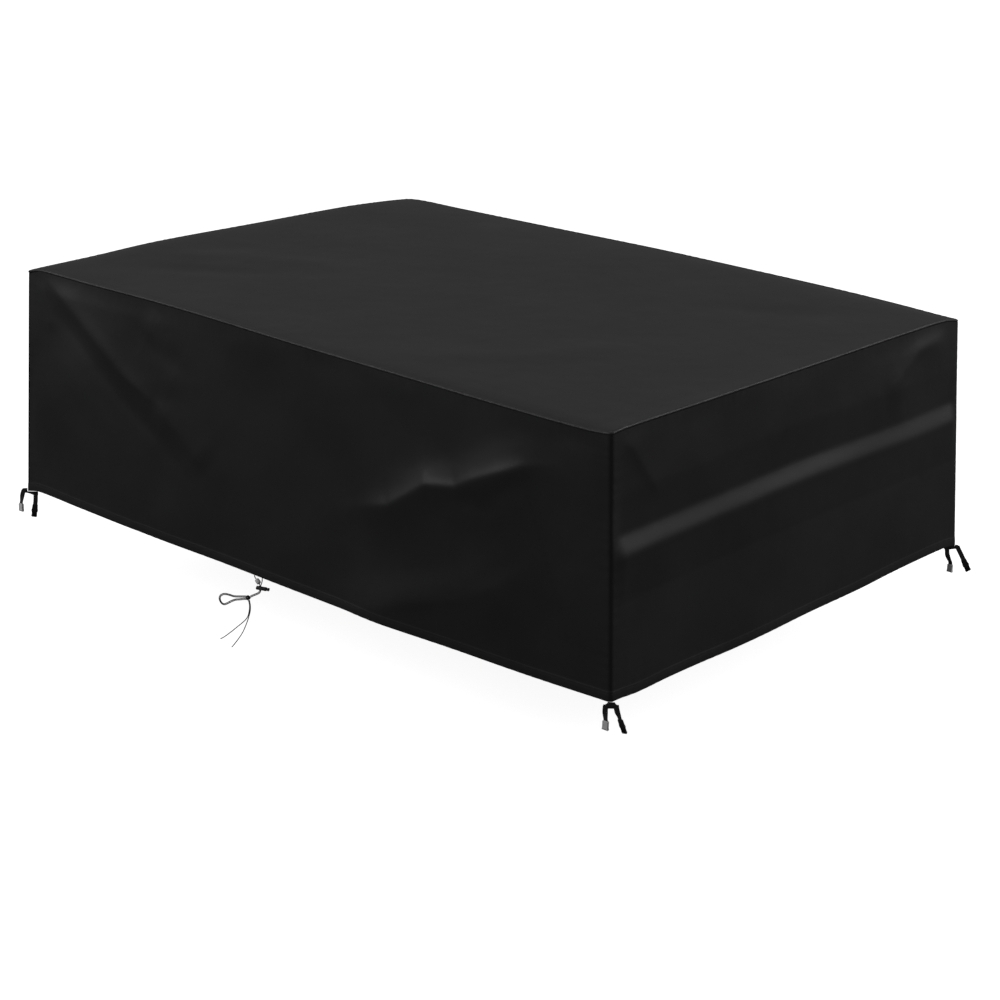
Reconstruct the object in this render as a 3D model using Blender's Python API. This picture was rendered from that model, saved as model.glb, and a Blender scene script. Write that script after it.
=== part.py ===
"""Fitted rain cover for a patio dining set: a hollow, open-bottomed box of coated cloth with a sewn seam
welt round its top edge, a webbing tab and a split side-release buckle at each hem corner, and a drawcord
with a spring cord lock in the front hem.

Frame: origin under the middle of the top panel, where the furniture's top carries it; +X along the long
side, +Z up, the front (long) wall towards -Y. Metres throughout; the tables marked mm are in millimetres.
"""

import math
from collections import namedtuple

import bmesh
import bpy
from mathutils import Matrix, Vector

MM = 0.001
UP = Vector((0.0, 0.0, 1.0))
CLEARANCE = 0.3 * MM

# ---------------------------------------------------------------- driving dimensions
SHEET = 2.0 * MM            # coated cloth
HEM_DEPTH = 28.0 * MM       # turned-in hem, two layers and the drawcord channel
HEM_EXTRA = 2.4 * MM        # how much thicker the hem is than one layer
HEM_BULGE = 0.7 * MM        # how far the hem stands proud of the wall
HEM_LEAD = 4.0 * MM         # the wall begins to thicken this far above the hem
HEM_ROUND = 2.0 * MM        # the hem's lower edge is rounded over this height
HEM_EDGE = 0.4              # share of the hem's extra thickness left at that edge
WELT_RADIUS = 4.3 * MM
WELT_INSET = 3.3 * MM       # centre of the welt behind the wall's outer face
WELT_SIDES = 6
WELT_STEP = 2.0 * MM        # rings of the welt closer together than this are left out
WALL_DROP = 7.9 * MM        # wall cloth starts this far below the welt's crown
WALL_BEVEL = 1.3 * MM       # its inner face starts this much lower, clear of the welt
RIM_INSET = 8.1 * MM        # top cloth starts this far behind the wall's outer face
RIM_DROP = 1.5 * MM         # and this far below the welt's crown
SEAM_GAP = 0.42 * MM        # each wall stops this far short of the middle of a rounded corner

# Corners, seen from above: where the flat walls would meet, at the top edge and at the hem, and the
# radius that the cloth takes round them.
Corner = namedtuple("Corner", "top hem top_radius hem_radius")
CORNERS = {
    "A": Corner(Vector((-1.2134, -0.8889)), Vector((-1.2332, -0.9057)), 0.018, 0.014),
    "D": Corner(Vector((1.195, -0.879)), Vector((1.244, -0.890)), 0.016, 0.014),
    "C": Corner(Vector((1.1907, 0.871)), Vector((1.2363, 0.9059)), 0.016, 0.014),
    "B": Corner(Vector((-1.191, 0.885)), Vector((-1.225, 0.900)), 0.018, 0.014),
}

# Walls in turn, anticlockwise from above. crown: height of the top edge; hem: height of the lower edge;
# both as (metres along from the first corner, metres above the origin). middle: mesh columns between the
# close-set ones at the corners; levels: mesh rows between the top edge and the hem.
Side = namedtuple("Side", "name first last length middle levels crown hem")
SIDES = (
    Side("front", "A", "D", 2.404, 33, 11,
         ((0.0, 0.0027), (0.06, 0.017), (0.16, 0.019), (0.30, 0.018), (0.57, 0.020), (0.80, 0.018),
          (1.23, 0.008), (1.63, 0.002), (2.00, -0.004), (2.32, -0.005), (2.404, 0.001)),
         ((0.0, -0.750), (0.07, -0.738), (0.26, -0.7415), (0.63, -0.748), (1.19, -0.756),
          (1.61, -0.757), (2.00, -0.755), (2.27, -0.751), (2.404, -0.748))),
    Side("right", "D", "C", 1.745, 22, 12,
         ((0.0, 0.001), (0.06, 0.006), (0.38, 0.007), (0.96, 0.009), (1.45, 0.012), (1.66, 0.010),
          (1.745, -0.004)),
         ((0.0, -0.748), (0.03, -0.7485), (0.12, -0.7535), (0.25, -0.7507), (0.40, -0.7513),
          (0.57, -0.755), (0.75, -0.7568), (0.95, -0.7525), (1.10, -0.7508), (1.22, -0.7495),
          (1.36, -0.7452), (1.50, -0.744), (1.68, -0.7475), (1.745, -0.756))),
    Side("back", "C", "B", 2.376, 15, 5,
         ((0.0, -0.004), (0.08, -0.002), (0.20, 0.0028), (0.38, 0.0078), (0.55, 0.0102),
          (0.80, 0.0117), (1.20, 0.013), (1.64, 0.008), (2.12, 0.0032), (2.30, 0.0024),
          (2.376, -0.0025)),
         ((0.0, -0.756), (0.10, -0.747), (0.60, -0.752), (1.20, -0.755), (1.80, -0.749),
          (2.28, -0.746), (2.376, -0.752))),
    Side("left", "B", "A", 1.770, 10, 5,
         ((0.0, -0.0025), (0.13, 0.006), (0.34, 0.014), (0.77, 0.016), (1.23, 0.018), (1.50, 0.0094),
          (1.70, 0.005), (1.770, 0.0027)),
         ((0.0, -0.752), (0.09, -0.743), (0.60, -0.750), (1.10, -0.754), (1.68, -0.742),
          (1.770, -0.750))),
)

# Folds of the walls: out is how far the cloth stands out (+) or in (-), width the half width of the soft
# ridge or trough, route the fold's line as (metres along the side, metres above the origin).
Fold = namedtuple("Fold", "side out width route")
FOLDS = (
    Fold("front", -0.013, 0.034, ((0.072, -0.016), (0.136, -0.100), (0.284, -0.188), (0.477, -0.327),
                                  (0.643, -0.420), (0.760, -0.507))),
    Fold("front", 0.008, 0.036, ((0.137, -0.030), (0.236, -0.083), (0.381, -0.168), (0.525, -0.268),
                                 (0.689, -0.361))),
    Fold("front", 0.006, 0.050, ((0.060, -0.160), (0.200, -0.270), (0.380, -0.400), (0.560, -0.520))),
    Fold("front", -0.006, 0.034, ((0.571, -0.098), (0.664, -0.143), (0.756, -0.172))),
    Fold("front", 0.007, 0.036, ((1.640, -0.310), (1.870, -0.226), (1.978, -0.166), (2.075, -0.112),
                                 (2.171, -0.104))),
    Fold("front", -0.008, 0.036, ((1.840, -0.300), (1.976, -0.300), (2.037, -0.244), (2.140, -0.190))),
    Fold("front", 0.008, 0.042, ((1.453, -0.707), (1.661, -0.638), (1.878, -0.554), (1.996, -0.457),
                                 (2.091, -0.357))),
    Fold("front", -0.007, 0.038, ((1.604, -0.722), (1.740, -0.670), (1.873, -0.620), (1.990, -0.560))),
    Fold("right", -0.006, 0.032, ((1.640, -0.030), (1.560, -0.065), (1.479, -0.095), (1.340, -0.150))),
    Fold("back", -0.008, 0.050, ((2.280, -0.030), (2.120, -0.150), (1.900, -0.300), (1.700, -0.430))),
    Fold("back", 0.006, 0.055, ((0.120, -0.040), (0.300, -0.190), (0.560, -0.360), (0.760, -0.520))),
    Fold("left", -0.008, 0.050, ((1.690, -0.030), (1.560, -0.140), (1.380, -0.300), (1.220, -0.450))),
    Fold("left", 0.006, 0.055, ((0.120, -0.050), (0.280, -0.200), (0.480, -0.380))),
)
FOLD_END = 0.35             # height of a fold at its ends, as a share of its full height
CORNER_FADE = 0.055         # folds die out this near an upright seam
TOP_FADE = 0.035            # and this near the top edge

# The right wall's pressed crease: a level band that leans out, as (metres below the band's top, metres out).
BAND_LEVEL = ((0.0, -0.310), (0.392, -0.299), (0.877, -0.288), (1.417, -0.289), (1.745, -0.284))
BAND_PROFILE = ((-0.130, 0.0), (0.0, -0.006), (0.042, 0.010), (0.170, 0.0))

# Slack of the cloth: broad shallow waves, (metres high, metres long, metres tall, turn).
SLACK = ((0.0022, 0.83, 0.55, 0.4), (0.0013, 0.47, 0.38, 2.1))

# Top panel: mesh cells along and across its middle, and its soft tension folds, routes in X, Y.
TOP_MIDDLE = (16, 9)
TopFold = namedtuple("TopFold", "rise width route")
TOP_FOLDS = (
    TopFold(-0.004, 0.060, ((-1.12, -0.78), (-0.90, -0.58), (-0.62, -0.38))),
    TopFold(0.003, 0.070, ((-1.08, -0.50), (-0.86, -0.30), (-0.55, -0.12))),
    TopFold(-0.003, 0.070, ((1.10, 0.74), (0.86, 0.52), (0.58, 0.36))),
    TopFold(0.003, 0.080, ((0.30, -0.72), (0.55, -0.45), (0.72, -0.12))),
)

# Hem-corner fittings hang in the upright plane through the corner that SPREAD and UP span.
SPREAD = Vector((math.cos(math.radians(41.2)), math.sin(math.radians(41.2)), 0.0))
FACING = SPREAD.cross(UP)
STRAP_WIDTH = 15.0 * MM
STRAP_THICKNESS = 1.5 * MM
TAB_THICKNESS = 2.0 * MM
STRAP_OFF_TAB = TAB_THICKNESS / 2 + CLEARANCE + STRAP_THICKNESS / 2

# Tabs, mm from the hem corner: outline in (SPREAD, UP), and how far along FACING the plate lies.
FRONT_TAB = ((-8.4, -0.8), (11.5, -1.3), (13, -5), (21, -12), (22, -19), (12, -21.5), (9, -20), (-4, -20),
             (-8, -21.5), (-20.5, -20), (-21.5, -12), (-10, -5))
LEFT_TAB = ((-15, -4.5), (-15, 4.5), (-10, 10), (3.2, 11), (3.2, -0.7), (38.5, -0.7), (38.5, -13),
            (23, -13), (10, -8), (0, -6))
RIGHT_TAB = ((-38.5, -13), (-38.5, -0.7), (-3.2, -0.7), (-3.2, 3), (5, 3), (11, -3), (9, -11), (-2, -11),
             (-12, -12.5), (-22, -14))
Tab = namedtuple("Tab", "corner depth outward mirrored outline")
TABS = (
    Tab("A", 0.0, 1, False, LEFT_TAB),
    Tab("D", -7.0, 1, False, FRONT_TAB),
    Tab("C", 0.0, 1, False, RIGHT_TAB),
    Tab("B", 7.0, -1, True, FRONT_TAB),
)

# Straps, mm from the hem corner in (SPREAD, UP), from the tab down to the buckle half. turn: degrees that a
# tongue has swung about its strap. The sockets keep their width along X.
Strap = namedtuple("Strap", "corner half turn route")
STRAPS = (
    Strap("A", "socket", 0, ((-6, 5), (-10, 0), (-13.5, -12), (-15.8, -24), (-17.5, -35), (-18.8, -43))),
    Strap("A", "tongue", 0, ((30.5, -4.5), (30.2, -18), (29.5, -32), (27.8, -46))),
    Strap("D", "socket", 0, ((-12.5, -8.5), (-14.2, -20), (-13.6, -36), (-12.4, -47), (-11.4, -55))),
    Strap("D", "tongue", 45, ((14.5, -8.5), (16.5, -19), (19.4, -30), (23.5, -40), (27.3, -50.5))),
    Strap("C", "socket", 0, ((-29.5, -5), (-28, -18), (-26, -31), (-20.5, -44), (-15.3, -54), (-13.7, -60),
                             (-13.5, -63.5))),
    Strap("C", "tongue", 0, ((3.5, -1.5), (8.5, -11.5), (14.5, -22), (21, -34), (27.5, -46.5))),
    Strap("B", "socket", 0, ((12.5, -8.5), (14.2, -20), (13.6, -36), (12.4, -47), (11.4, -55))),
    Strap("B", "tongue", -45, ((-14.5, -8.5), (-16.5, -19), (-19.4, -30), (-23.5, -40), (-27.3, -50.5))),
)

# Buckle halves, mm: half outlines as (across, down from the strap's end), then the hollows.
POCKET_DEPTH = 6.0 * MM     # the strap is held this deep in its buckle half
SOCKET_THICKNESS = 8.0 * MM
SOCKET_HEIGHT = 27.0 * MM
SOCKET_HALF_OUTLINE = ((0, 0), (7.4, 0), (9.2, 2), (9.0, 18.5), (10.1, 24.5), (9.9, 27), (7.6, 27), (5, 25),
                       (0, 25))
SOCKET_MOUTH = Vector((14.8, 17.0, 4.6)) * MM
SOCKET_WINDOW = Vector((24.0, 5.0, 3.8)) * MM
SOCKET_WINDOW_UP = 6.5 * MM  # the middle of the side windows above the mouth
TONGUE_THICKNESS = 4.6 * MM
TONGUE_HALF_OUTLINE = ((0, 0), (8.5, 0), (8.8, 2), (9.4, 14), (10.7, 20), (10.3, 24), (9.0, 25.2),
                       (8.6, 35), (9.6, 37.5), (9.4, 40), (7.2, 44), (5.6, 43), (5.8, 39), (5.4, 27),
                       (4.6, 25.7), (1.3, 25.7), (1.3, 39.5), (0, 40.6))

# Drawcord, mm from a point EXIT_DROP under the front hem: (along +X, towards -Y, up).
CORD_RADIUS = 1.5 * MM
CORD_STEP = 6.0 * MM        # a point about every two diameters
FINE_STEP = 0.4 * MM        # spacing of the lines that the cords are taken from
PAIR_OFFSET = 1.8 * MM      # two cords that run side by side, each this far from their middle line
EXIT_ALONG = 1.0935         # metres along the front hem from corner A
EXIT_DROP = 4.4 * MM
STRAND_ABOVE_LOCK = {
    "1": ((-3.0, 0, 3.6), (-3.2, -0.1, -5), (-6.0, -0.3, -14), (-9.2, -0.55, -21), (-9.9, -0.58, -26),
          (-9.9, -0.58, -36.7)),
    "2": ((-36.8, 0, 3.6), (-36.5, 0, 0.6), (-33.8, 0, -2.9), (-29.4, 0, -6.2), (-22, 0, -12),
          (-15.2, 0, -17.4), (-13.6, 0.4, -20.4), (-13.1, 0.58, -24.6), (-13.1, 0.58, -36.7)),
}
STRANDS_BELOW_LOCK = ((-12.8, 0, -42.2), (-17, 0, -47.6), (-24, 0, -52.6), (-33, 0.5, -58),
                      (-43, 1, -63.8), (-52, 1, -69.4), (-60, 1, -75))
LOOP = ((-62, 1, -74.5), (-72, 1, -75.5), (-86, 1, -79.0), (-102.4, 1.5, -83.4), (-118, 2, -87.4),
        (-131, 2.5, -89.4), (-145, 3, -89.8), (-160, 3.5, -91), (-174, 4, -95), (-185, 4, -102.6),
        (-190, 4, -112), (-187, 4, -121.5), (-178.5, 3.5, -127.5), (-167, 3, -126.5),
        (-150.9, 2.5, -116.8), (-135, 2, -106.5), (-118, 2, -97.9), (-102.5, 1.5, -92.9),
        (-86, 1, -87.0), (-72, 1, -83.0), (-62, 1, -82))
ENDS = {
    "1": ((-64, 1, -82), (-61.0, 1, -90), (-58.8, 1, -98), (-58.4, 1, -109), (-60.4, 1, -121),
          (-64.5, 1, -135), (-73, 1.5, -149.5), (-88.5, 2.5, -165.5), (-110, 4, -185), (-131, 5, -204),
          (-151.5, 6, -221.5), (-168, 6.5, -235), (-184, 7, -246)),
    "2": ((-59.5, 1, -82), (-57.2, 1, -90), (-55.2, 1, -98), (-54.8, 1, -109.5), (-56.4, 1, -122),
          (-60.6, 1, -135), (-66, 0.5, -149), (-74.5, 0, -167.5), (-88.5, -1, -194),
          (-100, -2, -211), (-112, -2, -227.5), (-128, -2.5, -247), (-143.5, -3, -265)),
}
KNOT_CENTRE = (-64.4, 1, -78.8)
KNOT_SEMI_AXES = Vector((7.5, 6.5, 9.5)) * MM
KNOT_GAP = 1.4 * CLEARANCE   # the cords stop this far short of the smooth knot
BEAD_CENTRE = (-22, 0, -12)
BEAD_AXIS = Vector((0.783, 0.0, -0.622))
BEAD_PROFILE = ((2.5, -8.0), (5.6, -8.0), (6.8, -6.2), (7.3, 0.0), (6.8, 6.2), (5.6, 8.0), (2.5, 8.0))

# Cord lock, mm along its axis from the cords' crossing; the button slides by TRAVEL into the body.
TRAVEL = 4.0
LOCK_CENTRE = (-11.5, 0, -31.5)
LOCK_TURN = math.radians(20.0)
LOCK_AXIS = Vector((math.cos(LOCK_TURN), math.sin(LOCK_TURN), 0.0))
LOCK_DEPTH_AXIS = Vector((math.sin(LOCK_TURN), -math.cos(LOCK_TURN), 0.0))
LOCK_BODY = (-12.5, 21.2)
LOCK_HALF_DEPTH = 7.0
LOCK_HALF_HEIGHT = 5.9
BORE_RADIUS = 4.4
BORE_BOTTOM = -10.9
BODY_SLOT = (-4.4, 4.4)
SLOT_WIDTH = 4.0
BUTTON_SHAFT_RADIUS = 4.05
BUTTON_SHAFT_START = -6.6
BUTTON_SLOT = (BODY_SLOT[0], BODY_SLOT[1] + TRAVEL)
BUTTON_HEAD = (LOCK_BODY[1] + TRAVEL, 29.5)
BUTTON_HEAD_RADII = (6.2, 5.2)

Finish = namedtuple("Finish", "colour roughness")
FINISHES = {
    "coated_cloth": Finish((0.016, 0.016, 0.017), 0.62),
    "seam_tape": Finish((0.030, 0.030, 0.031), 0.55),
    "webbing": Finish((0.014, 0.014, 0.014), 0.80),
    "grey_plastic": Finish((0.280, 0.280, 0.285), 0.35),
    "black_plastic": Finish((0.012, 0.012, 0.013), 0.32),
    "cord": Finish((0.013, 0.013, 0.014), 0.75),
    "pale_plastic": Finish((0.520, 0.520, 0.520), 0.40),
}


# ---------------------------------------------------------------- curves and tables
def ease(x):
    """0 to 1, with level ends."""
    x = min(max(x, 0.0), 1.0)
    return x * x * (3.0 - 2.0 * x)


def read_table(rows, at):
    """A smooth curve through a short table of (place, value) rows."""
    if at <= rows[0][0]:
        return rows[0][1]
    if at >= rows[-1][0]:
        return rows[-1][1]
    index = next(i for i in range(len(rows) - 1) if rows[i + 1][0] >= at)
    slopes = []
    for i in (index, index + 1):
        low, high = rows[max(i - 1, 0)], rows[min(i + 1, len(rows) - 1)]
        slopes.append((high[1] - low[1]) / (high[0] - low[0]))
    (x0, y0), (x1, y1) = rows[index], rows[index + 1]
    span = x1 - x0
    t = (at - x0) / span
    return ((1 + 2 * t) * (1 - t) ** 2 * y0 + t * (1 - t) ** 2 * span * slopes[0]
            + t * t * (3 - 2 * t) * y1 + t * t * (t - 1) * span * slopes[1])


def spline_through(points, step):
    """Points about step apart on a smooth curve through the given points."""
    ends = [points[0] * 2 - points[1]] + list(points) + [points[-1] * 2 - points[-2]]
    fine = []
    for before, start, stop, after in zip(ends, ends[1:], ends[2:], ends[3:]):
        for k in range(12):
            t = k / 12
            fine.append(0.5 * (2 * start + (stop - before) * t
                               + (2 * before - 5 * start + 4 * stop - after) * t * t
                               + (3 * start - before - 3 * stop + after) * t ** 3))
    fine.append(points[-1].copy())
    return evenly(fine, step)


def evenly(points, step):
    """The same run of points, spaced evenly by about step."""
    travelled = [0.0]
    for a, b in zip(points, points[1:]):
        travelled.append(travelled[-1] + (b - a).length)
    count = max(2, round(travelled[-1] / step))
    result = []
    index = 0
    for k in range(count + 1):
        goal = travelled[-1] * k / count
        while index < len(points) - 2 and travelled[index + 1] < goal:
            index += 1
        share = (goal - travelled[index]) / (travelled[index + 1] - travelled[index])
        result.append(points[index].lerp(points[index + 1], share))
    return result


def distance_to_route(point, route):
    """Distance from a 2D point to a broken line, and how far along the line it falls, 0 to 1."""
    lengths = [(b - a).length for a, b in zip(route, route[1:])]
    nearest, place, walked = 1e9, 0.0, 0.0
    for (a, b), length in zip(zip(route, route[1:]), lengths):
        share = min(max((point - a).dot(b - a) / length ** 2, 0.0), 1.0)
        gap = (point - a.lerp(b, share)).length
        if gap < nearest:
            nearest, place = gap, (walked + share * length) / sum(lengths)
        walked += length
    return nearest, place


def fold_height(point, size, width, route):
    """Height of one soft fold at a 2D point: a bell across it, dying out towards both of its ends."""
    gap, place = distance_to_route(point, [Vector(p) for p in route])
    swell = FOLD_END + (1 - FOLD_END) * ease(4 * min(place, 1 - place))
    return size * math.exp(-(gap / width) ** 2) * swell


# ---------------------------------------------------------------- shape of the cover
def corner_point(name, fall):
    """Where two walls' planes meet, fall = 0 at the top edge and 1 at the hem."""
    return CORNERS[name].top.lerp(CORNERS[name].hem, fall)


def corner_radius(name, fall):
    corner = CORNERS[name]
    return corner.top_radius + (corner.hem_radius - corner.top_radius) * fall


def arc_point(start, middle, stop, t):
    """Point and outward direction on the rounded corner."""
    point = start * (1 - t) ** 2 + middle * (2 * t * (1 - t)) + stop * t * t
    heading = ((middle - start) * (1 - t) + (stop - middle) * t).normalized()
    return point, Vector((heading.y, -heading.x))


def outline(index, along, fall):
    """Plan of the walls' outer face: the point and the outward direction, both in X, Y."""
    side = SIDES[index]
    before, after = SIDES[index - 1], SIDES[(index + 1) % 4]
    first, last = corner_point(side.first, fall), corner_point(side.last, fall)
    heading = (last - first).normalized()
    r0, r1 = corner_radius(side.first, fall), corner_radius(side.last, fall)
    reach = side.length - r1
    if along < r0:
        back = (corner_point(before.first, fall) - first).normalized()
        return arc_point(first + back * r0, first, first + heading * r0, 0.5 + 0.5 * along / r0)
    if along > reach:
        ahead = (corner_point(after.last, fall) - last).normalized()
        return arc_point(last - heading * r1, last, last + ahead * r1, 0.5 * (along - reach) / r1)
    share = (along - r0) / (reach - r0)
    point = (first + heading * r0).lerp(last - heading * r1, share)
    return point, Vector((heading.y, -heading.x))


def stations(index, middle):
    """Mesh columns of a side: close together at the rounded corners, even between them."""
    side = SIDES[index]
    r0 = CORNERS[side.first].top_radius
    r1 = CORNERS[side.last].top_radius
    head = [SEAM_GAP, 0.5 * r0, r0, 2.2 * r0]
    tail = [side.length - 2.2 * r1, side.length - r1, side.length - 0.5 * r1, side.length - SEAM_GAP]
    run = (tail[0] - head[-1]) / (middle + 1)
    return head + [head[-1] + run * (k + 1) for k in range(middle)] + tail


def slack_wave(along, height, turn):
    return sum(size * math.sin(math.tau * along / long + phase + turn)
               * math.sin(math.tau * height / tall + phase * 1.7)
               for size, long, tall, phase in SLACK)


def fold_push(index, along, height, crown):
    """How far the wall cloth stands out of the flat wall."""
    side = SIDES[index]
    here = Vector((along, height))
    push = sum(fold_height(here, fold.out, fold.width, fold.route) for fold in FOLDS if fold.side == side.name)
    push += slack_wave(along, height, float(index))
    if side.name == "right":
        push += read_table(BAND_PROFILE, read_table(BAND_LEVEL, along) - height)
    nearest = min(along, side.length - along)
    return push * ease(nearest / CORNER_FADE) * ease((crown - height) / TOP_FADE)


def wall_point(index, along, height):
    """Point of the wall's outer face."""
    side = SIDES[index]
    crown, hem = read_table(side.crown, along), read_table(side.hem, along)
    fall = min(max((crown - height) / (crown - hem), 0.0), 1.0)
    plan, out = outline(index, along, fall)
    plan = plan + out * fold_push(index, along, height, crown)
    return Vector((plan.x, plan.y, height))


def wall_normal(index, along, height):
    step = 1.5 * MM
    up = wall_point(index, along, height + step) - wall_point(index, along, height - step)
    across = wall_point(index, along + step, height) - wall_point(index, along - step, height)
    return across.cross(up).normalized()


def rim_point(index, along):
    """Edge of the top panel's upper face."""
    plan, out = outline(index, along, 0.0)
    plan = plan - out * RIM_INSET
    return Vector((plan.x, plan.y, read_table(SIDES[index].crown, along) - RIM_DROP))


# ---------------------------------------------------------------- making objects
def new_object(name, bm, finish, place=None):
    bmesh.ops.recalc_face_normals(bm, faces=bm.faces)
    mesh = bpy.data.meshes.new(name)
    bm.to_mesh(mesh)
    bm.free()
    mesh.materials.append(bpy.data.materials[finish])
    mesh.shade_smooth()
    mesh.set_sharp_from_angle(angle=math.radians(40))
    obj = bpy.data.objects.new(name, mesh)
    bpy.context.scene.collection.objects.link(obj)
    if place is not None:
        obj.matrix_world = place
    obj.parent = bpy.data.objects["cover"]
    return obj


def cloth_solid(name, outer, inner, finish):
    """A closed sheet between two grids of points with the same rows and columns.

    Both faces split each cell along the same diagonal, so a twisted cell keeps its thickness.
    """
    bm = bmesh.new()
    out, into = [[[bm.verts.new(point) for point in line] for line in grid] for grid in (outer, inner)]
    rows, columns = len(outer), len(outer[0])
    for grid, turned in ((out, False), (into, True)):
        for i in range(rows - 1):
            for j in range(columns - 1):
                a, b, c, d = grid[i][j], grid[i + 1][j], grid[i + 1][j + 1], grid[i][j + 1]
                for half in ((a, b, c), (a, c, d)):
                    bm.faces.new(half[::-1] if turned else half)
    rim = [(i, 0) for i in range(rows)] + [(rows - 1, j) for j in range(1, columns)]
    rim += [(i, columns - 1) for i in range(rows - 2, -1, -1)] + [(0, j) for j in range(columns - 2, 0, -1)]
    for (i, j), (k, m) in zip(rim, rim[1:] + rim[:1]):
        bm.faces.new((out[i][j], into[i][j], into[k][m], out[k][m]))
    return new_object(name, bm, finish)


def swept_solid(name, rings, finish, closed=False, place=None):
    """A solid through rings of points, capped at both ends unless it closes on itself."""
    bm = bmesh.new()
    loops = [[bm.verts.new(point) for point in ring] for ring in rings]
    count = len(loops[0])
    pairs = list(zip(loops, loops[1:] + (loops[:1] if closed else [])))
    for first, second in pairs:
        for k in range(count):
            bm.faces.new((first[k], first[(k + 1) % count], second[(k + 1) % count], second[k]))
    if not closed:
        bm.faces.new(loops[0][::-1])
        bm.faces.new(loops[-1])
    return new_object(name, bm, finish, place)


def extruded_outline(name, outline_points, thickness, finish, place):
    """A flat plate: the outline lies in the place's X, Y and is thickened evenly along its Z."""
    rings = [[Vector((x, y, z)) for x, y in outline_points] for z in (-thickness / 2, thickness / 2)]
    return swept_solid(name, rings, finish, place=place)


def cut(target, cutter_name, low, high):
    """Takes a box, given in the target's own axes, out of it."""
    bm = bmesh.new()
    bmesh.ops.create_cube(bm, size=1.0)
    size, middle = high - low, (high + low) / 2
    bmesh.ops.transform(bm, matrix=Matrix.Translation(middle) @ Matrix.Diagonal((*size, 1.0)), verts=bm.verts)
    cut_with(target, cutter_name, bm)


def cut_with(target, cutter_name, bm):
    cutter = new_object(cutter_name, bm, "black_plastic", target.matrix_world.copy())
    cutter.hide_render = True
    cutter.display_type = "WIRE"
    modifier = target.modifiers.new(cutter_name, "BOOLEAN")
    modifier.operation = "DIFFERENCE"
    modifier.object = cutter


def axes(origin, x, y):
    """Matrix of a place with the given X and Y directions."""
    z = x.cross(y)
    return Matrix.Translation(origin) @ Matrix((x, y, z)).transposed().to_4x4()


# ---------------------------------------------------------------- cloth
def wall_heights(index, along):
    """Rows of a wall at one column: (height, thickness, bulge), from the top edge down."""
    side = SIDES[index]
    top = read_table(side.crown, along) - WALL_DROP
    hem = read_table(side.hem, along)
    seam = hem + HEM_DEPTH
    fall = seam + HEM_LEAD - top
    rows = [(top + fall * k / side.levels, SHEET, 0.0) for k in range(side.levels + 1)]
    rows.append((seam, SHEET + HEM_EXTRA, HEM_BULGE))
    rows.append((hem + HEM_ROUND, SHEET + HEM_EXTRA, HEM_BULGE))
    rows.append((hem, SHEET + HEM_EDGE * HEM_EXTRA, 0.0))
    return rows


def make_wall(index):
    side = SIDES[index]
    columns = stations(index, side.middle)
    heights = [wall_heights(index, along) for along in columns]
    outer, inner = [], []
    for row in range(len(heights[0])):
        outer.append([])
        inner.append([])
        for along, column in zip(columns, heights):
            height, thickness, bulge = column[row]
            point, normal = wall_point(index, along, height), wall_normal(index, along, height)
            outer[-1].append(point + normal * bulge)
            inner[-1].append(point - normal * thickness)
    inner[0] = [point - UP * WALL_BEVEL for point in inner[0]]
    return cloth_solid("panel_" + side.name, outer, inner, "coated_cloth")


def make_top():
    """A four-edged patch between the wall tops, a little dished, with soft tension folds."""
    long_side, short_side = TOP_MIDDLE
    front = [rim_point(0, s) for s in stations(0, long_side)]
    back = [rim_point(2, s) for s in reversed(stations(2, long_side))]
    right = [rim_point(1, s) for s in stations(1, short_side)]
    left = [rim_point(3, s) for s in reversed(stations(3, short_side))]
    us = [s / SIDES[0].length for s in stations(0, long_side)]
    vs = [s / SIDES[1].length for s in stations(1, short_side)]
    us = [(u - us[0]) / (us[-1] - us[0]) for u in us]
    vs = [(v - vs[0]) / (vs[-1] - vs[0]) for v in vs]

    def patch(u, v, f, b, r, l):
        flat = (front[0] * (1 - u) * (1 - v) + front[-1] * u * (1 - v)
                + back[0] * (1 - u) * v + back[-1] * u * v)
        return f * (1 - v) + b * v + l * (1 - u) + r * u - flat

    middle = [rim_point(i, SIDES[i].length / 2) for i in range(4)]
    dish = patch(0.5, 0.5, middle[0], middle[2], middle[1], middle[3]).z - SHEET
    upper = []
    for j, v in enumerate(vs):
        line = []
        for i, u in enumerate(us):
            point = patch(u, v, front[i], back[i], right[j], left[j])
            inland = 16 * u * (1 - u) * v * (1 - v)
            point.z -= dish * inland
            place = Vector((point.x, point.y))
            point.z += min(1.0, 3 * inland) * sum(
                fold_height(place, fold.rise, fold.width, fold.route) for fold in TOP_FOLDS)
            line.append(point)
        upper.append(line)
    under = [[point - UP * SHEET for point in line] for line in upper]
    return cloth_solid("panel_top", upper, under, "coated_cloth")


def make_welt():
    """One closed cord-like ridge where the top and the walls are sewn together."""
    rings = []
    for index, side in enumerate(SIDES):
        for along in stations(index, side.middle):
            plan, out = outline(index, along, 0.0)
            outward = Vector((out.x, out.y, 0.0))
            centre = Vector((plan.x, plan.y, read_table(side.crown, along) - WELT_RADIUS))
            centre -= outward * WELT_INSET
            turns = [math.tau * k / WELT_SIDES for k in range(WELT_SIDES)]
            rings.append([centre + (outward * math.cos(a) + UP * math.sin(a)) * WELT_RADIUS for a in turns])
    spaced = rings[:1]
    for ring in rings[1:]:
        if (ring[0] - spaced[-1][0]).length > WELT_STEP:
            spaced.append(ring)
    if (spaced[0][0] - spaced[-1][0]).length < WELT_STEP:
        spaced.pop()
    return swept_solid("seam_welt", spaced, "seam_tape", closed=True)


# ---------------------------------------------------------------- corner fittings
def hem_corner(name):
    """The hem corner's point, where the measured fittings hang from."""
    side = next(side for side in SIDES if side.first == name)
    plan = CORNERS[name].hem
    return Vector((plan.x, plan.y, side.hem[0][1]))


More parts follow.
